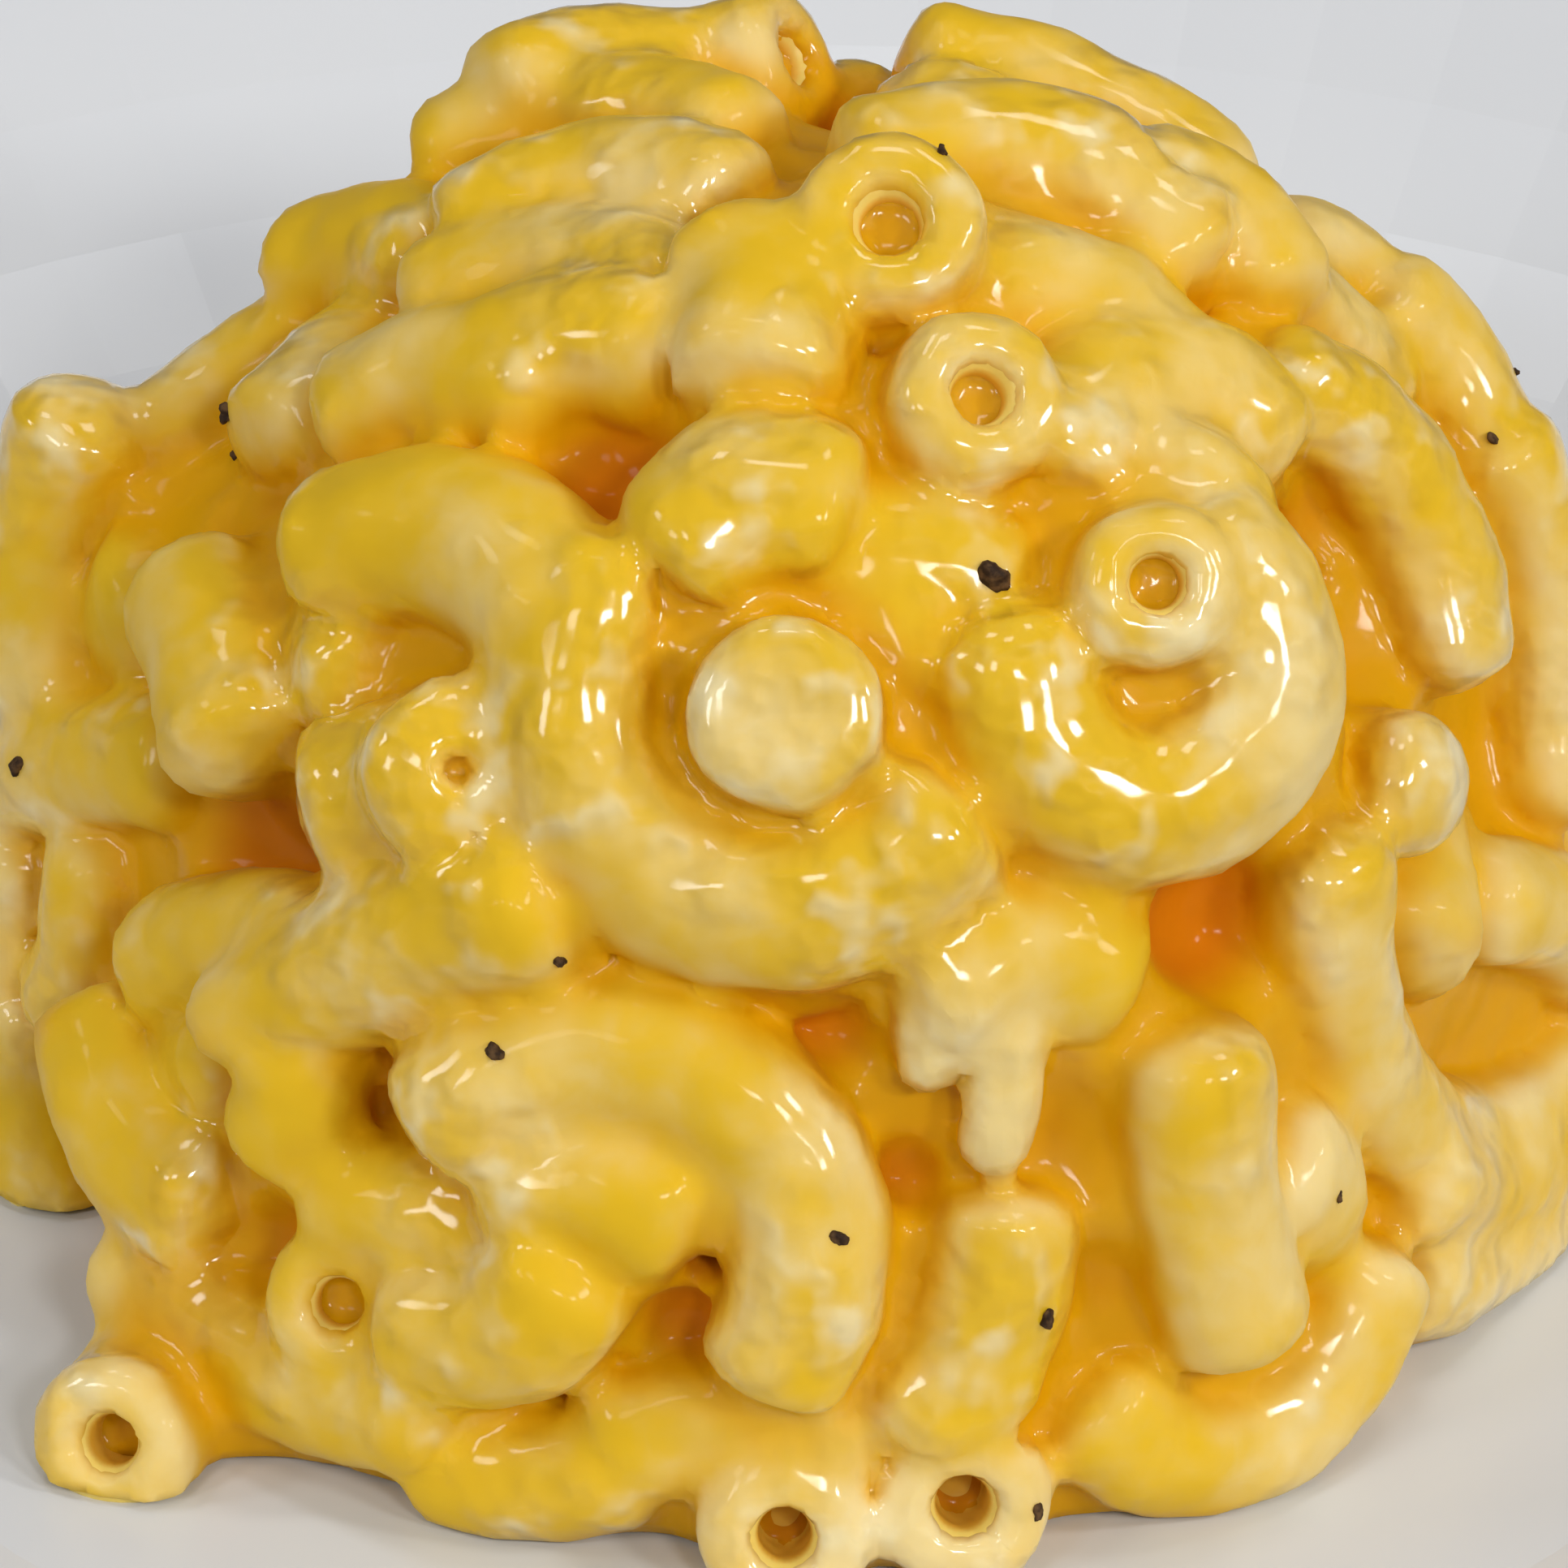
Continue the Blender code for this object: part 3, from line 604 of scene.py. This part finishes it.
CORE_RADIUS, CORE_HEIGHT = 26.5, 40.0   # mm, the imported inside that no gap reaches
VOXEL = 0.58 * MM
FILLET = 0.4 * MM               # radius of the sauce's hollows between elbows
BRIDGE = 6.5 * MM               # and of the ball that rolls over the pile to find its gaps
SUNK = 2.1 * MM                 # how far the sauce that fills the gaps lies below that ball
SETTLED = 0.55 * MM             # how much that depth comes and goes
BLEND = 0.4 * MM                # width of the curve from an elbow into the sauce beside it
HOLLOWS = (                     # (across, up, radius, depth) in mm of the gaps it hasn't filled
    (-22.0, -3.0, 5.0, 3.6), (-7.6, 12.9, 2.7, 2.2), (-10.4, 16.8, 1.2, 1.6),
    (3.4, 18.3, 1.5, 2.8), (6.6, 19.0, 1.3, 1.8), (11.0, 12.6, 1.3, 2.4), (3.6, 10.3, 1.2, 1.4),
    (3.0, 30.2, 3.4, 7.0), (-4.4, 3.2, 1.9, 0.8), (17.4, -5.6, 2.7, 2.8), (1.2, -9.6, 2.4, 3.0), (-7.2, -7.6, 1.9, 2.8), (-12.6, -9.2, 1.3, 2.2), (-15.8, -11.4, 1.3, 2.4),
    (5.0, -7.9, 1.0, 1.4), (-3.0, -18.8, 2.0, 3.0), (-4.0, -22.2, 2.0, 2.0), (-8.0, -25.2, 2.2, 1.2),
    (-14.8, -15.6, 1.6, 2.8), (-17.0, -13.6, 1.3, 1.6), (-20.8, -19.6, 1.8, 1.8), (-31.8, -14.5, 2.4, 1.8),
    (12.2, -14.0, 1.8, 0.4), (13.0, -20.0, 1.9, 0.8), (22.4, -20.6, 1.8, 1.4), (25.6, -9.6, 2.2, 1.6),
    (23.6, 5.6, 1.9, 2.0), (23.4, 0.6, 1.6, 1.0), (17.0, 20.3, 1.0, 2.0), (13.2, 4.2, 1.2, 1.8),
    (-27.0, 5.2, 1.7, 2.0), (-21.8, 10.8, 2.4, 1.6), (-30.4, -4.0, 1.3, 1.2), (5.0, -16.4, 1.3, 2.0),
    (22.6, 11.4, 1.8, 1.2), (-17.6, 3.4, 1.6, 1.0), (28.8, 1.0, 1.6, 1.0),
)
FILM = 0.20 * MM                # how much the film of sauce swells and thins
CAP_REACH, CAP_ROUND = 0.85, 1.5 * MM   # an end that the sauce covers: its reach and its round edge
CUT_REACH, CUT_ROUND = 0.72, 1.15 * MM  # an end that stays open
CUT_BACK = 1.9 * MM             # how far the sauce's own round pipe stops short of it
MOUTH = 0.37                    # radius of the hole in the sauce at an open end
MOUTH_DEPTH = 3.9 * MM


def middle_lines(name, elbows):
    """Edges along the middle of every elbow."""
    points, edges, tubes = [], [], []
    for elbow in elbows:
        line = centreline(elbow, step=0.5) * MM + LIFTED
        walked = np.append(0.0, np.cumsum(np.linalg.norm(np.diff(line, axis=0), axis=1)))
        first, last = (CUT_BACK if is_open > 0.0 else 0.0 for is_open in elbow["open"])
        line = line[(walked >= first) & (walked <= walked[-1] - last)]
        edges += [(len(points) + i, len(points) + i + 1) for i in range(len(line) - 1)]
        points += list(line)
        tubes += [elbow["tube"] * MM] * len(line)
    return points_object(name, points, {"tube": tubes}, edges)


def hollow_places():
    """A point where the diner sees each gap that the sauce hasn't filled."""
    spots = [seen_at(across, up) * MM + LIFTED for across, up, _, _ in HOLLOWS]
    values = {"wide": [gap[2] * MM for gap in HOLLOWS], "deep": [gap[3] * MM for gap in HOLLOWS]}
    return points_object("hollow_places", spots, values)


def elbow_ends(elbows, holes_only):
    """A point at both ends of every elbow's middle line, which knows the way out of it."""
    points, values = [], {"way": [], "tube": [], "cut": [], "depth": []}
    for elbow in elbows:
        line = centreline(elbow, step=0.3)
        for is_open, end, inner in ((elbow["open"][0], line[0], line[1]), (elbow["open"][1], line[-1], line[-2])):
            if holes_only and is_open in (0.0, BLUNT):
                continue
            way, tube, dimple = unit(end - inner), elbow["tube"], is_open == PITTED
            if holes_only and dimple:
                end = end + way * tube * (CAP_REACH - 0.4 * CUT_REACH)
                tube = tube * 0.4
            points.append(end * MM + LIFTED)
            values["way"].append(way)
            values["tube"].append(tube * MM)
            values["cut"].append(0.0 if dimple or not is_open else 1.0)
            values["depth"].append(0.3 * MOUTH_DEPTH if dimple else is_open * MOUTH_DEPTH)
    return points_object("elbow_ends", points, values)


def folded_up(tree, place):
    """The place mirrored in the floor of the bowl, so that the sauce meets it in a fillet."""
    height = (place.part("Z") - WELL).number("ABSOLUTE") + WELL
    return tree.node("ShaderNodeCombineXYZ", {}, {0: place.part("X"), 1: place.part("Y"), 2: height})


def coat_field(tree, place, middles, drips, ends, film):
    """Above 0 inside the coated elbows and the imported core, in metres from their surface."""
    lines = {"target_element": "EDGES"}
    away = tree.node("GeometryNodeProximity", lines, {0: middles, "Sample Position": place}).twin("Distance")
    _, tube = carried(tree, middles, place, ("tube", "FLOAT"))
    off = tree.node("GeometryNodeProximity", lines, {0: drips, "Sample Position": place}).twin("Distance")
    _, thin = carried(tree, drips, place, ("tube", "FLOAT"))
    swell = (tree.noise(place, 150.0, 2.0) - 0.5) * 4.0
    uneven = (swell + (tree.noise(place, 400.0, 2.0) - 0.5) * 3.6) * film
    tube = tube + uneven
    pipe = (tube - away).number("MAXIMUM", thin - off)

    end, way, cut = carried(tree, ends, place, ("way", "FLOAT_VECTOR"), ("cut", "FLOAT"))
    _, end_tube = carried(tree, ends, place, ("tube", "FLOAT"))
    apart = place.vector("SUBTRACT", end)
    ahead = apart.vector("DOT_PRODUCT", way, output=1)
    beside = apart.vector("SUBTRACT", way.scaled(ahead)).vector("LENGTH", output=1)
    edge = cut * (CUT_ROUND - CAP_ROUND) + CAP_ROUND
    edge = edge.number("MINIMUM", end_tube * 0.8)
    reach = (cut * (CUT_REACH - CAP_REACH) + CAP_REACH) * end_tube
    over = (beside - end_tube - uneven + edge).number("MAXIMUM", 0.0)
    past = (ahead - reach + edge).number("MAXIMUM", 0.0)
    block = edge - (over * over + past * past).number("SQRT")
    block = block.number("MINIMUM", ahead + CUT_BACK)

    flat = place.vector("MULTIPLY", (1.0, 1.0, 0.0)).vector("LENGTH", output=1)
    height = place.part("Z") - WELL
    level = (flat / (CORE_RADIUS * MM)) ** SHOULDER + (height / (CORE_HEIGHT * MM)) ** CROWN
    core = (1.0 - level) * 10.0 * MM
    return pipe.number("MAXIMUM", block).number("MAXIMUM", core), away - tube


def sauce_tree(low, high):
    """Fills the creases between the elbows: the pile is swelled by a fillet and shrunk back."""
    kinds = {"Drips": "Object", "Ends": "Object", "Mouths": "Object", "Hollows": "Object", "Fillet": "Float",
             "Bridge": "Float", "Sunk": "Float", "Film": "Float", "Material": "Material"}
    tree, given, output = geometry_tree("cheese_sauce", kinds)
    drips = tree.node("GeometryNodeObjectInfo", {}, {"Object": given["Drips"]}).twin("Geometry")
    ends = tree.node("GeometryNodeObjectInfo", {}, {"Object": given["Ends"]}).twin("Geometry")
    mouths = tree.node("GeometryNodeObjectInfo", {}, {"Object": given["Mouths"]}).twin("Geometry")
    hollows = tree.node("GeometryNodeObjectInfo", {}, {"Object": given["Hollows"]}).twin("Geometry")
    place = tree.node("GeometryNodeInputPosition")
    field, _ = coat_field(tree, folded_up(tree, place), given["Geometry"], drips, ends, given["Film"])

    def skin_of(density, pad, bottom, voxel):
        corners = [low[0] - pad, low[1] - pad, bottom], [high[0] + pad, high[1] + pad, high[2] + pad]
        sockets = {"Density": density, "Background": -1.0, "Min": corners[0], "Max": corners[1]}
        for axis, first, last in zip("XYZ", *corners):
            sockets["Resolution " + axis] = int(ceil((last - first) / voxel))
        volume = tree.node("GeometryNodeVolumeCube", {}, sockets)
        return tree.node("GeometryNodeVolumeToMesh", {}, {"Volume": volume, "Threshold": 0.0})

    def closed_by(radius, reach, voxel):
        """How far inside the pile a place is, once a ball of this radius has rolled over it."""
        swelled = skin_of(field + radius, reach, WELL - reach, voxel)
        settings = {"target_element": "FACES"}
        skin = tree.node("GeometryNodeProximity", settings, {0: swelled, "Sample Position": place})
        within = (field + radius).number("GREATER_THAN", 0.0)
        return skin.twin("Distance") * within - radius

    filled = closed_by(given["Fillet"], FILLET + 2.0 * VOXEL, VOXEL * 1.15)
    below = closed_by(given["Bridge"], BRIDGE + 2.4 * MM, 1.2 * MM)
    hollow, wide = carried(tree, hollows, place, ("wide", "FLOAT"))
    _, deep = carried(tree, hollows, place, ("deep", "FLOAT"))
    away = place.vector("SUBTRACT", hollow).vector("LENGTH", output=1)
    dip = tree.ramp(away, wide * 1.5, wide * 0.4) * deep
    level = given["Sunk"] + (tree.noise(place, 130.0, 2.0) - 0.5) * SETTLED * 4.0 + dip
    filled = tree.node("ShaderNodeMath", {"operation": "SMOOTH_MAX"}, {0: filled, 1: below - level, 2: BLEND})

    end, way, tube = carried(tree, mouths, place, ("way", "FLOAT_VECTOR"), ("tube", "FLOAT"))
    _, depth = carried(tree, mouths, place, ("depth", "FLOAT"))
    apart = place.vector("SUBTRACT", end)
    ahead = apart.vector("DOT_PRODUCT", way, output=1)
    beside = apart.vector("SUBTRACT", way.scaled(ahead)).vector("LENGTH", output=1)
    rim = ahead - tube * CUT_REACH
    flare = (rim + 0.8 * MM).number("MAXIMUM", 0.0)
    hole = tube * MOUTH + flare * flare * 280.0
    hole = hole.number("MINIMUM", tube * 0.75) - beside
    hole = hole.number("MINIMUM", rim + depth).number("MINIMUM", 2.8 * MM - rim)
    bore = hole.number("MINIMUM", 0.6 * MM - rim)
    sauce = filled.number("MINIMUM", hole * -1.0).number("MAXIMUM", field.number("MINIMUM", bore * -1.0))
    sauce = sauce.number("MINIMUM", place.part("Z") - WELL - 0.05 * MM)
    sauce = skin_of(sauce, 2.0 * VOXEL, WELL - VOXEL, VOXEL)

    _, pool = coat_field(tree, place, given["Geometry"], drips, ends, given["Film"])
    sauce = stored(tree, sauce, "pool", tree.ramp(pool, 0.05 * MM, 1.5 * MM))
    bridged = skin_of(below, 2.4 * MM, WELL - BRIDGE, 1.2 * MM)
    settings = {"target_element": "FACES"}
    gap = tree.node("GeometryNodeProximity", settings, {0: bridged, "Sample Position": place})
    # gap: how deep a place lies below the ball that rolled over the pile; the sauce material paints shade by it
    sauce = stored(tree, sauce, "gap", gap.twin("Distance") / MM)
    # crown: how far the surface faces out from the mound's middle; the sauce material paints sheen on the flanks by
    # it
    outward = place.vector("SUBTRACT", (0.0, 0.0, WELL + 12.0 * MM)).vector("NORMALIZE")
    facing_out = tree.node("GeometryNodeInputNormal").vector("DOT_PRODUCT", outward, output=1)
    sauce = stored(tree, sauce, "crown", facing_out)
    return finish_tree(tree, sauce, given["Material"], output)


def make_sauce(elbows, material):
    whole = [elbow for elbow in elbows if elbow["tube"] > DRIP]
    middles = middle_lines("middle_lines", whole)
    drips = middle_lines("drips", [elbow for elbow in elbows if elbow["tube"] <= DRIP])
    ends, mouths, hollows = elbow_ends(whole, False), elbow_ends(whole, True), hollow_places()
    values = {"Drips": drips, "Ends": ends, "Mouths": mouths, "Hollows": hollows, "Fillet": FILLET,
              "Bridge": BRIDGE, "Sunk": SUNK, "Film": FILM, "Material": material}
    piece = grown("cheese_sauce", middles, sauce_tree(PILE_LOW, PILE_HIGH), values)
    for helper in (drips, ends, mouths, hollows):
        bpy.data.objects.remove(helper)
    return piece


# ---------------------------------------------------------------- pepper

PEPPER_SEEN = (                 # (across, up, size) of each crack, in mm, as the diner sees it
    (8.8, 8.6, 0.75), (-23.3, 15.5, 0.5), (-32.0, 0.7, 0.4), (6.6, 26.4, 0.35),
    (-12.1, -11.2, 0.42), (2.3, -19.0, 0.4), (-9.4, -7.4, 0.35), (11.0, -22.3, 0.45),
    (29.6, 14.4, 0.36), (28.5, -23.6, 0.42), (10.6, -30.4, 0.38), (23.2, -17.3, 0.3),
)
PEPPER_REST = 12                # cracks on the sides and the back
PEPPER_SEED = 5


def pepper_tree():
    """A flat, jagged crack of pepper on each point, turned at random."""
    kinds = {"Jag": "Float", "Seed": "Int", "Material": "Material"}
    tree, given, output = geometry_tree("pepper", kinds)
    grain = tree.node("GeometryNodeMeshIcoSphere", {}, {"Radius": 1.0, "Subdivisions": 3})
    settings = {"data_type": "FLOAT_VECTOR"}
    turn = tree.node("FunctionNodeRandomValue", settings, {1: (6.28, 6.28, 6.28), "Seed": given["Seed"]})
    size = named(tree, "size")
    flat = tree.node("ShaderNodeCombineXYZ", {}, {0: size, 1: size * 0.75, 2: size * 0.55})
    sockets = {"Points": given["Geometry"], "Instance": grain, "Rotation": turn, "Scale": flat}
    placed = tree.node("GeometryNodeInstanceOnPoints", {}, sockets)
    real = tree.node("GeometryNodeRealizeInstances", {}, {"Geometry": placed})
    here = tree.node("GeometryNodeInputPosition")
    normal = tree.node("GeometryNodeInputNormal")
    jag = (tree.noise(here, 2200.0, 2.0) - 0.5) * given["Jag"] * 4.0
    rough = tree.node("GeometryNodeSetPosition", {}, {"Geometry": real, "Offset": normal.scaled(jag)})
    return finish_tree(tree, rough, given["Material"], output)


def make_pepper(food, material):
    """Cracks where a ray from the diner, or from outside the mound, meets the food."""
    finder = BVHTree.FromObject(food, bpy.context.evaluated_depsgraph_get())
    seat = SEAT * MM + LIFTED
    rays = [(seat, unit(AIM + a * ACROSS + u * UP - SEAT), size) for a, u, size in PEPPER_SEEN]
    rng = np.random.default_rng(PEPPER_SEED)
    for turn in rng.uniform(0.0, pi, PEPPER_REST):
        heart = np.array([0.0, 0.0, rng.uniform(4.0, 30.0)]) * MM + LIFTED
        way = unit(np.array([cos(turn), sin(turn), rng.uniform(-0.1, 1.2)]))
        rays.append((heart + way * 0.1, -way, rng.uniform(0.2, 0.38)))
    hits = [(finder.ray_cast(Vector(start), Vector(way))[0], size * MM) for start, way, size in rays]
    hits = [(hit, size) for hit, size in hits if hit is not None]
    source = points_object("pepper_points", [hit for hit, _ in hits], {"size": [size for _, size in hits]})
    values = {"Jag": 0.16 * MM, "Seed": PEPPER_SEED, "Material": material}
    return grown("cracked_pepper", source, pepper_tree(), values)


# ---------------------------------------------------------------- materials

def new_material(name, constants):
    """A material, its tree and its Principled shader."""
    material = bpy.data.materials.new(name)
    material.use_nodes = True
    shader = material.node_tree.nodes["Principled BSDF"]
    for title, value in constants.items():
        shader.inputs[title].default_value = value
    return material, Tree(material.node_tree), shader


def feed(shader, title, wire):
    shader.id_data.links.new(wire.socket, shader.inputs[title])


def mixed(tree, factor, first, second):
    """Two colours mixed by a factor."""
    return tree.node("ShaderNodeMix", {"data_type": "RGBA"}, {0: factor, 6: first, 7: second}, 2)


YELLOW = (0.87, 0.53, 0.016, 1.0)       # the film of sauce on the pasta
CREAM = (0.94, 0.72, 0.30, 1.0)         # where it is thick and pale, and the painted light on lit flanks and the lower right
PAINTED_CREASE_AMBER = (0.78, 0.38, 0.001, 1.0)        # painted shade in the creases
PAINTED_GAP_RED = (0.70, 0.20, 0.000, 1.0)        # painted shade in the deepest gaps
CURD = (0.97, 0.82, 0.46, 1.0)          # milky curds where it is wet, which also stand in for painted glints


def sauce_finish():
    """Soft, wet cheese sauce, glossy in patches: paler where it lies thick, with painted sheen on the elbows'
    flanks, painted light towards the diner's right and lower down, painted glints in its milky curds, and painted
    shade in its golden creases and deep red gaps.
    """
    constants = {
        "Subsurface Weight": 0.3,
        "Subsurface Radius": (1.0, 0.62, 0.12),
        "Subsurface Scale": 1.6 * MM,
        "IOR": 1.2,
        "Coat Roughness": 0.1,
        "Sheen Weight": 0.06,
        "Sheen Roughness": 0.3,
        "Sheen Tint": (1.0, 0.82, 0.4, 1.0),
    }
    material, tree, shader = new_material("cheese_sauce", constants)
    shader.subsurface_method = "BURLEY"
    place = tree.node("ShaderNodeTexCoord").twin("Object")
    pool, gap, crown = (tree.node("ShaderNodeAttribute", {"attribute_name": name}).twin("Fac")
                        for name in ("pool", "gap", "crown"))
    drift = tree.noise(place, 110.0, 3.0, 0.55)
    mottle = tree.noise(place, 480.0, 3.0, 0.6, 0.6)
    # painted sheen: where the surface turns away from the mound's outward way, on the elbows' flanks, the sauce is
    # painted paler
    painted_flank_sheen = tree.ramp(crown, 0.88, 0.45)
    # painted light: the sauce is painted paler towards the diner's right and lower down on the pile, where the
    # light falls
    served = (place.part("X") - place.part("Z") * 0.7) * 2.0
    # ridges keep the pale cream and creases lose most of it, part of the painted shade in the creases; the milky
    # curds also stay off the creases
    ridge = 1.0 - tree.ramp(gap, 0.3, 1.3)
    # the cream mix: real paler tones where the sauce is thick and at random, plus the painted sheen and painted
    # light above
    cream_and_painted_light = tree.ramp(drift * 0.9 + mottle * 0.16 + painted_flank_sheen * 0.08 + pool * 0.06 + served, 0.40, 0.77)
    colour = mixed(tree, cream_and_painted_light * (ridge * 0.7 + 0.3), YELLOW, CREAM)
    # painted shade: the creases between elbows are painted amber
    painted_crease_shade = tree.ramp(gap + (mottle - 0.5) * 0.8, 0.2, 2.2)
    colour = mixed(tree, painted_crease_shade, colour, PAINTED_CREASE_AMBER)
    # painted shade: the deepest gaps are painted dark red
    pit = tree.ramp(gap, 2.2, 4.2)
    colour = mixed(tree, pit * 0.95, colour, PAINTED_GAP_RED)
    wet = tree.ramp(tree.noise(place, 95.0, 3.0, 0.6), 0.44, 0.58) * (1.0 - tree.ramp(gap, 1.0, 2.6))
    curds = tree.noise(place, 640.0, 1.0, 0.5)
    # milky curds in the wet patches, painted near white, also as painted glints of light
    curd_and_painted_glint = tree.ramp(tree.noise(place, 330.0, 2.0, 0.5) * 0.75 + curds * 0.25, 0.50, 0.68) * wet * ridge
    feed(shader, "Base Color", mixed(tree, curd_and_painted_glint * 0.7, colour, CURD))
    feed(shader, "Roughness", 0.45 - wet * 0.1 + pit * 0.4)
    feed(shader, "Coat Weight", wet * 0.9 + 0.1)
    waves = tree.noise(place, 210.0, 1.0, 0.45)
    height = waves * 0.45 + curds * (wet * 0.55 + 0.03)
    bump = tree.node("ShaderNodeBump", {}, {"Strength": 0.9, "Distance": 1.0 * MM, "Height": height})
    feed(shader, "Normal", bump)
    return material


def pasta_finish():
    """Cooked pasta, which shows inside the open ends; the wall of the bore is painted a deeper amber, as painted
    shade in the hollow.
    """
    constants = {
        "Subsurface Weight": 0.15,
        "Subsurface Radius": (1.0, 0.6, 0.3),
        "Subsurface Scale": 0.3 * MM,
        "IOR": 1.42,
        "Coat Roughness": 0.15,
    }
    material, tree, shader = new_material("cooked_macaroni", constants)
    place = tree.node("ShaderNodeTexCoord").twin("Object")
    inside = tree.node("ShaderNodeAttribute", {"attribute_name": "inside"}).twin("Fac")
    mottle = tree.noise(place, 500.0, 3.0, 0.6)
    colour = mixed(tree, mottle, (0.94, 0.64, 0.10, 1.0), (0.96, 0.74, 0.22, 1.0))
    # painted shade: the bore's inside wall is painted a deeper amber
    colour = mixed(tree, inside * 0.75, colour, (0.85, 0.42, 0.012, 1.0))
    feed(shader, "Base Color", colour)
    feed(shader, "Roughness", mottle * 0.25 + 0.25)
    grain = tree.noise(place, 700.0, 3.0)
    bump = tree.node("ShaderNodeBump", {}, {"Strength": 0.4, "Distance": 0.15 * MM, "Height": grain})
    feed(shader, "Normal", bump)
    return material


def pepper_finish():
    material, tree, shader = new_material("cracked_pepper", {"IOR": 1.3})
    place = tree.node("ShaderNodeTexCoord").twin("Object")
    mottle = tree.ramp(tree.noise(place, 2600.0, 3.0), 0.35, 0.7)
    feed(shader, "Base Color", mixed(tree, mottle, (0.030, 0.014, 0.006, 1.0), (0.14, 0.075, 0.03, 1.0)))
    feed(shader, "Roughness", mottle * 0.2 + 0.7)
    return material


def glaze_finish():
    """White glaze, a little uneven, which stops at the dry underside of the foot ring."""
    material, tree, shader = new_material("white_glaze", {"IOR": 1.5, "Coat Roughness": 0.06})
    place = tree.node("ShaderNodeTexCoord").twin("Object")
    dry = tree.ramp(place.part("Z"), FLOOR + 0.9 * MM, FLOOR + 0.5 * MM)
    pool = tree.noise(place, 22.0, 2.0)
    glaze = mixed(tree, tree.ramp(pool, 0.3, 0.7), (0.75, 0.77, 0.805, 1.0), (0.80, 0.815, 0.84, 1.0))
    clay = mixed(tree, tree.noise(place, 900.0, 3.0), (0.62, 0.58, 0.52, 1.0), (0.74, 0.70, 0.64, 1.0))
    feed(shader, "Base Color", mixed(tree, dry, glaze, clay))
    feed(shader, "Roughness", dry * 0.35 + pool * 0.08 + 0.30)
    feed(shader, "Coat Weight", (1.0 - dry) * 0.1)
    ripple = tree.noise(place, 60.0, 2.0) * 0.7 + tree.noise(place, 1500.0, 2.0) * dry
    bump = tree.node("ShaderNodeBump", {}, {"Strength": 0.2, "Distance": 0.3 * MM, "Height": ripple})
    feed(shader, "Normal", bump)
    return material


# ---------------------------------------------------------------- putting it together

LIFTED = np.array([0.0, 0.0, WELL])
elbows = packed_elbows()
served = len(served_side())
for number, elbow in enumerate(elbows):
    if "open" not in elbow:
        elbow["open"] = tuple(0.6 if is_clear else 0.0 for is_clear in clear_ends(number, elbows))

pasta = pasta_finish()
bending = macaroni_tree()
sauce = make_sauce(elbows, sauce_finish())
pieces = [
    make_macaroni("macaroni_served_side", [e for e in elbows[:served] if e["tube"] > DRIP], 28, 22, pasta, bending),
    make_macaroni("macaroni_sides_and_back", elbows[served:], 20, 18, pasta, bending),
    sauce,
    make_pepper(sauce, pepper_finish()),
]
for piece in pieces:
    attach(piece, "root")
    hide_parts("macaroni_pile")

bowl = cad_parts["bowl"]
bowl.data.materials.clear()
bowl.data.materials.append(glaze_finish())

# ---------------------------------------------------------------- floor, light and camera


def make_floor():
    floor = skinned_plane("table", 1.6, FLOOR)
    material, tree, shader = new_material("pale_table", {"IOR": 1.45})
    place = tree.node("ShaderNodeTexCoord").twin("Object")
    shade = tree.noise(place, 9.0, 3.0)
    feed(shader, "Base Color", mixed(tree, shade, (0.72, 0.72, 0.71, 1.0), (0.76, 0.76, 0.75, 1.0)))
    feed(shader, "Roughness", shade * 0.1 + 0.5)
    floor.data.materials.append(material)


def skinned_plane(name, size, height):
    half = size / 2
    corners = [(-half, -half, height), (half, -half, height), (half, half, height), (-half, half, height)]
    mesh = bpy.data.meshes.new(name)
    mesh.from_pydata(corners, [], [(0, 1, 2, 3)])
    return plain_object(name, mesh)


def aimed(name, data, spot, target):
    """An object at a spot that looks at a target."""
    obj = bpy.data.objects.new(name, data)
    obj.location = spot
    obj.rotation_euler = (Vector(target) - Vector(spot)).to_track_quat("-Z", "Y").to_euler()
    bpy.context.scene.collection.objects.link(obj)
    return obj


def softbox(name, spot, size, watts, colour):
    data = bpy.data.lights.new(name, "AREA")
    data.shape = "RECTANGLE"
    data.size, data.size_y = size
    data.energy = watts
    data.color = colour
    aimed(name, data, spot, (0.0, 0.0, 0.03))


LIGHTS = (                      # where the softboxes of each kind hang, their size, watts and colour
    ("key", ((0.36, -0.44, 0.34), (0.16, -0.52, 0.38), (0.48, -0.22, 0.36)),
     (0.09, 0.07), 0.78, (1.0, 0.985, 0.96)),
    ("fill", ((-0.42, -0.40, 0.36), (-0.24, -0.50, 0.46), (-0.55, -0.10, 0.40)),
     (0.12, 0.10), 0.37, (0.95, 0.97, 1.0)),
    ("top", ((0.00, -0.05, 0.62), (0.20, 0.10, 0.60), (-0.20, 0.10, 0.60)),
     (0.12, 0.10), 0.22, (0.95, 0.97, 1.0)),
)


def light_scene():
    for name, spots, size, watts, colour in LIGHTS:
        for number, spot in enumerate(spots):
            softbox(f"{name}_{number}", spot, size, watts, colour)
    world = bpy.data.worlds.new("soft_room")
    world.use_nodes = True
    background = world.node_tree.nodes["Background"]
    background.inputs["Color"].default_value = (0.92, 0.95, 1.0, 1.0)
    background.inputs["Strength"].default_value = 0.17
    bpy.context.scene.world = world
    bpy.context.scene.view_settings.view_transform = "Standard"
    bpy.context.scene.cycles.max_bounces = 4
    bpy.context.scene.cycles.diffuse_bounces = 2


def place_camera():
    data = bpy.data.cameras.new("diner")
    data.sensor_width = 36.0
    half_view = atan(0.5 * VIEW_WIDTH / SEAT_DISTANCE)
    data.lens = data.sensor_width / 2.0 / (0.5 * VIEW_WIDTH / SEAT_DISTANCE)
    data.clip_start, data.clip_end = 0.01, 10.0
    spot, target = SEAT * MM + LIFTED, AIM * MM + LIFTED
    bpy.context.scene.camera = aimed("diner", data, spot, target)


VIEW_WIDTH = 65.5               # mm across the camera's view, at the pile
make_floor()
light_scene()
place_camera()
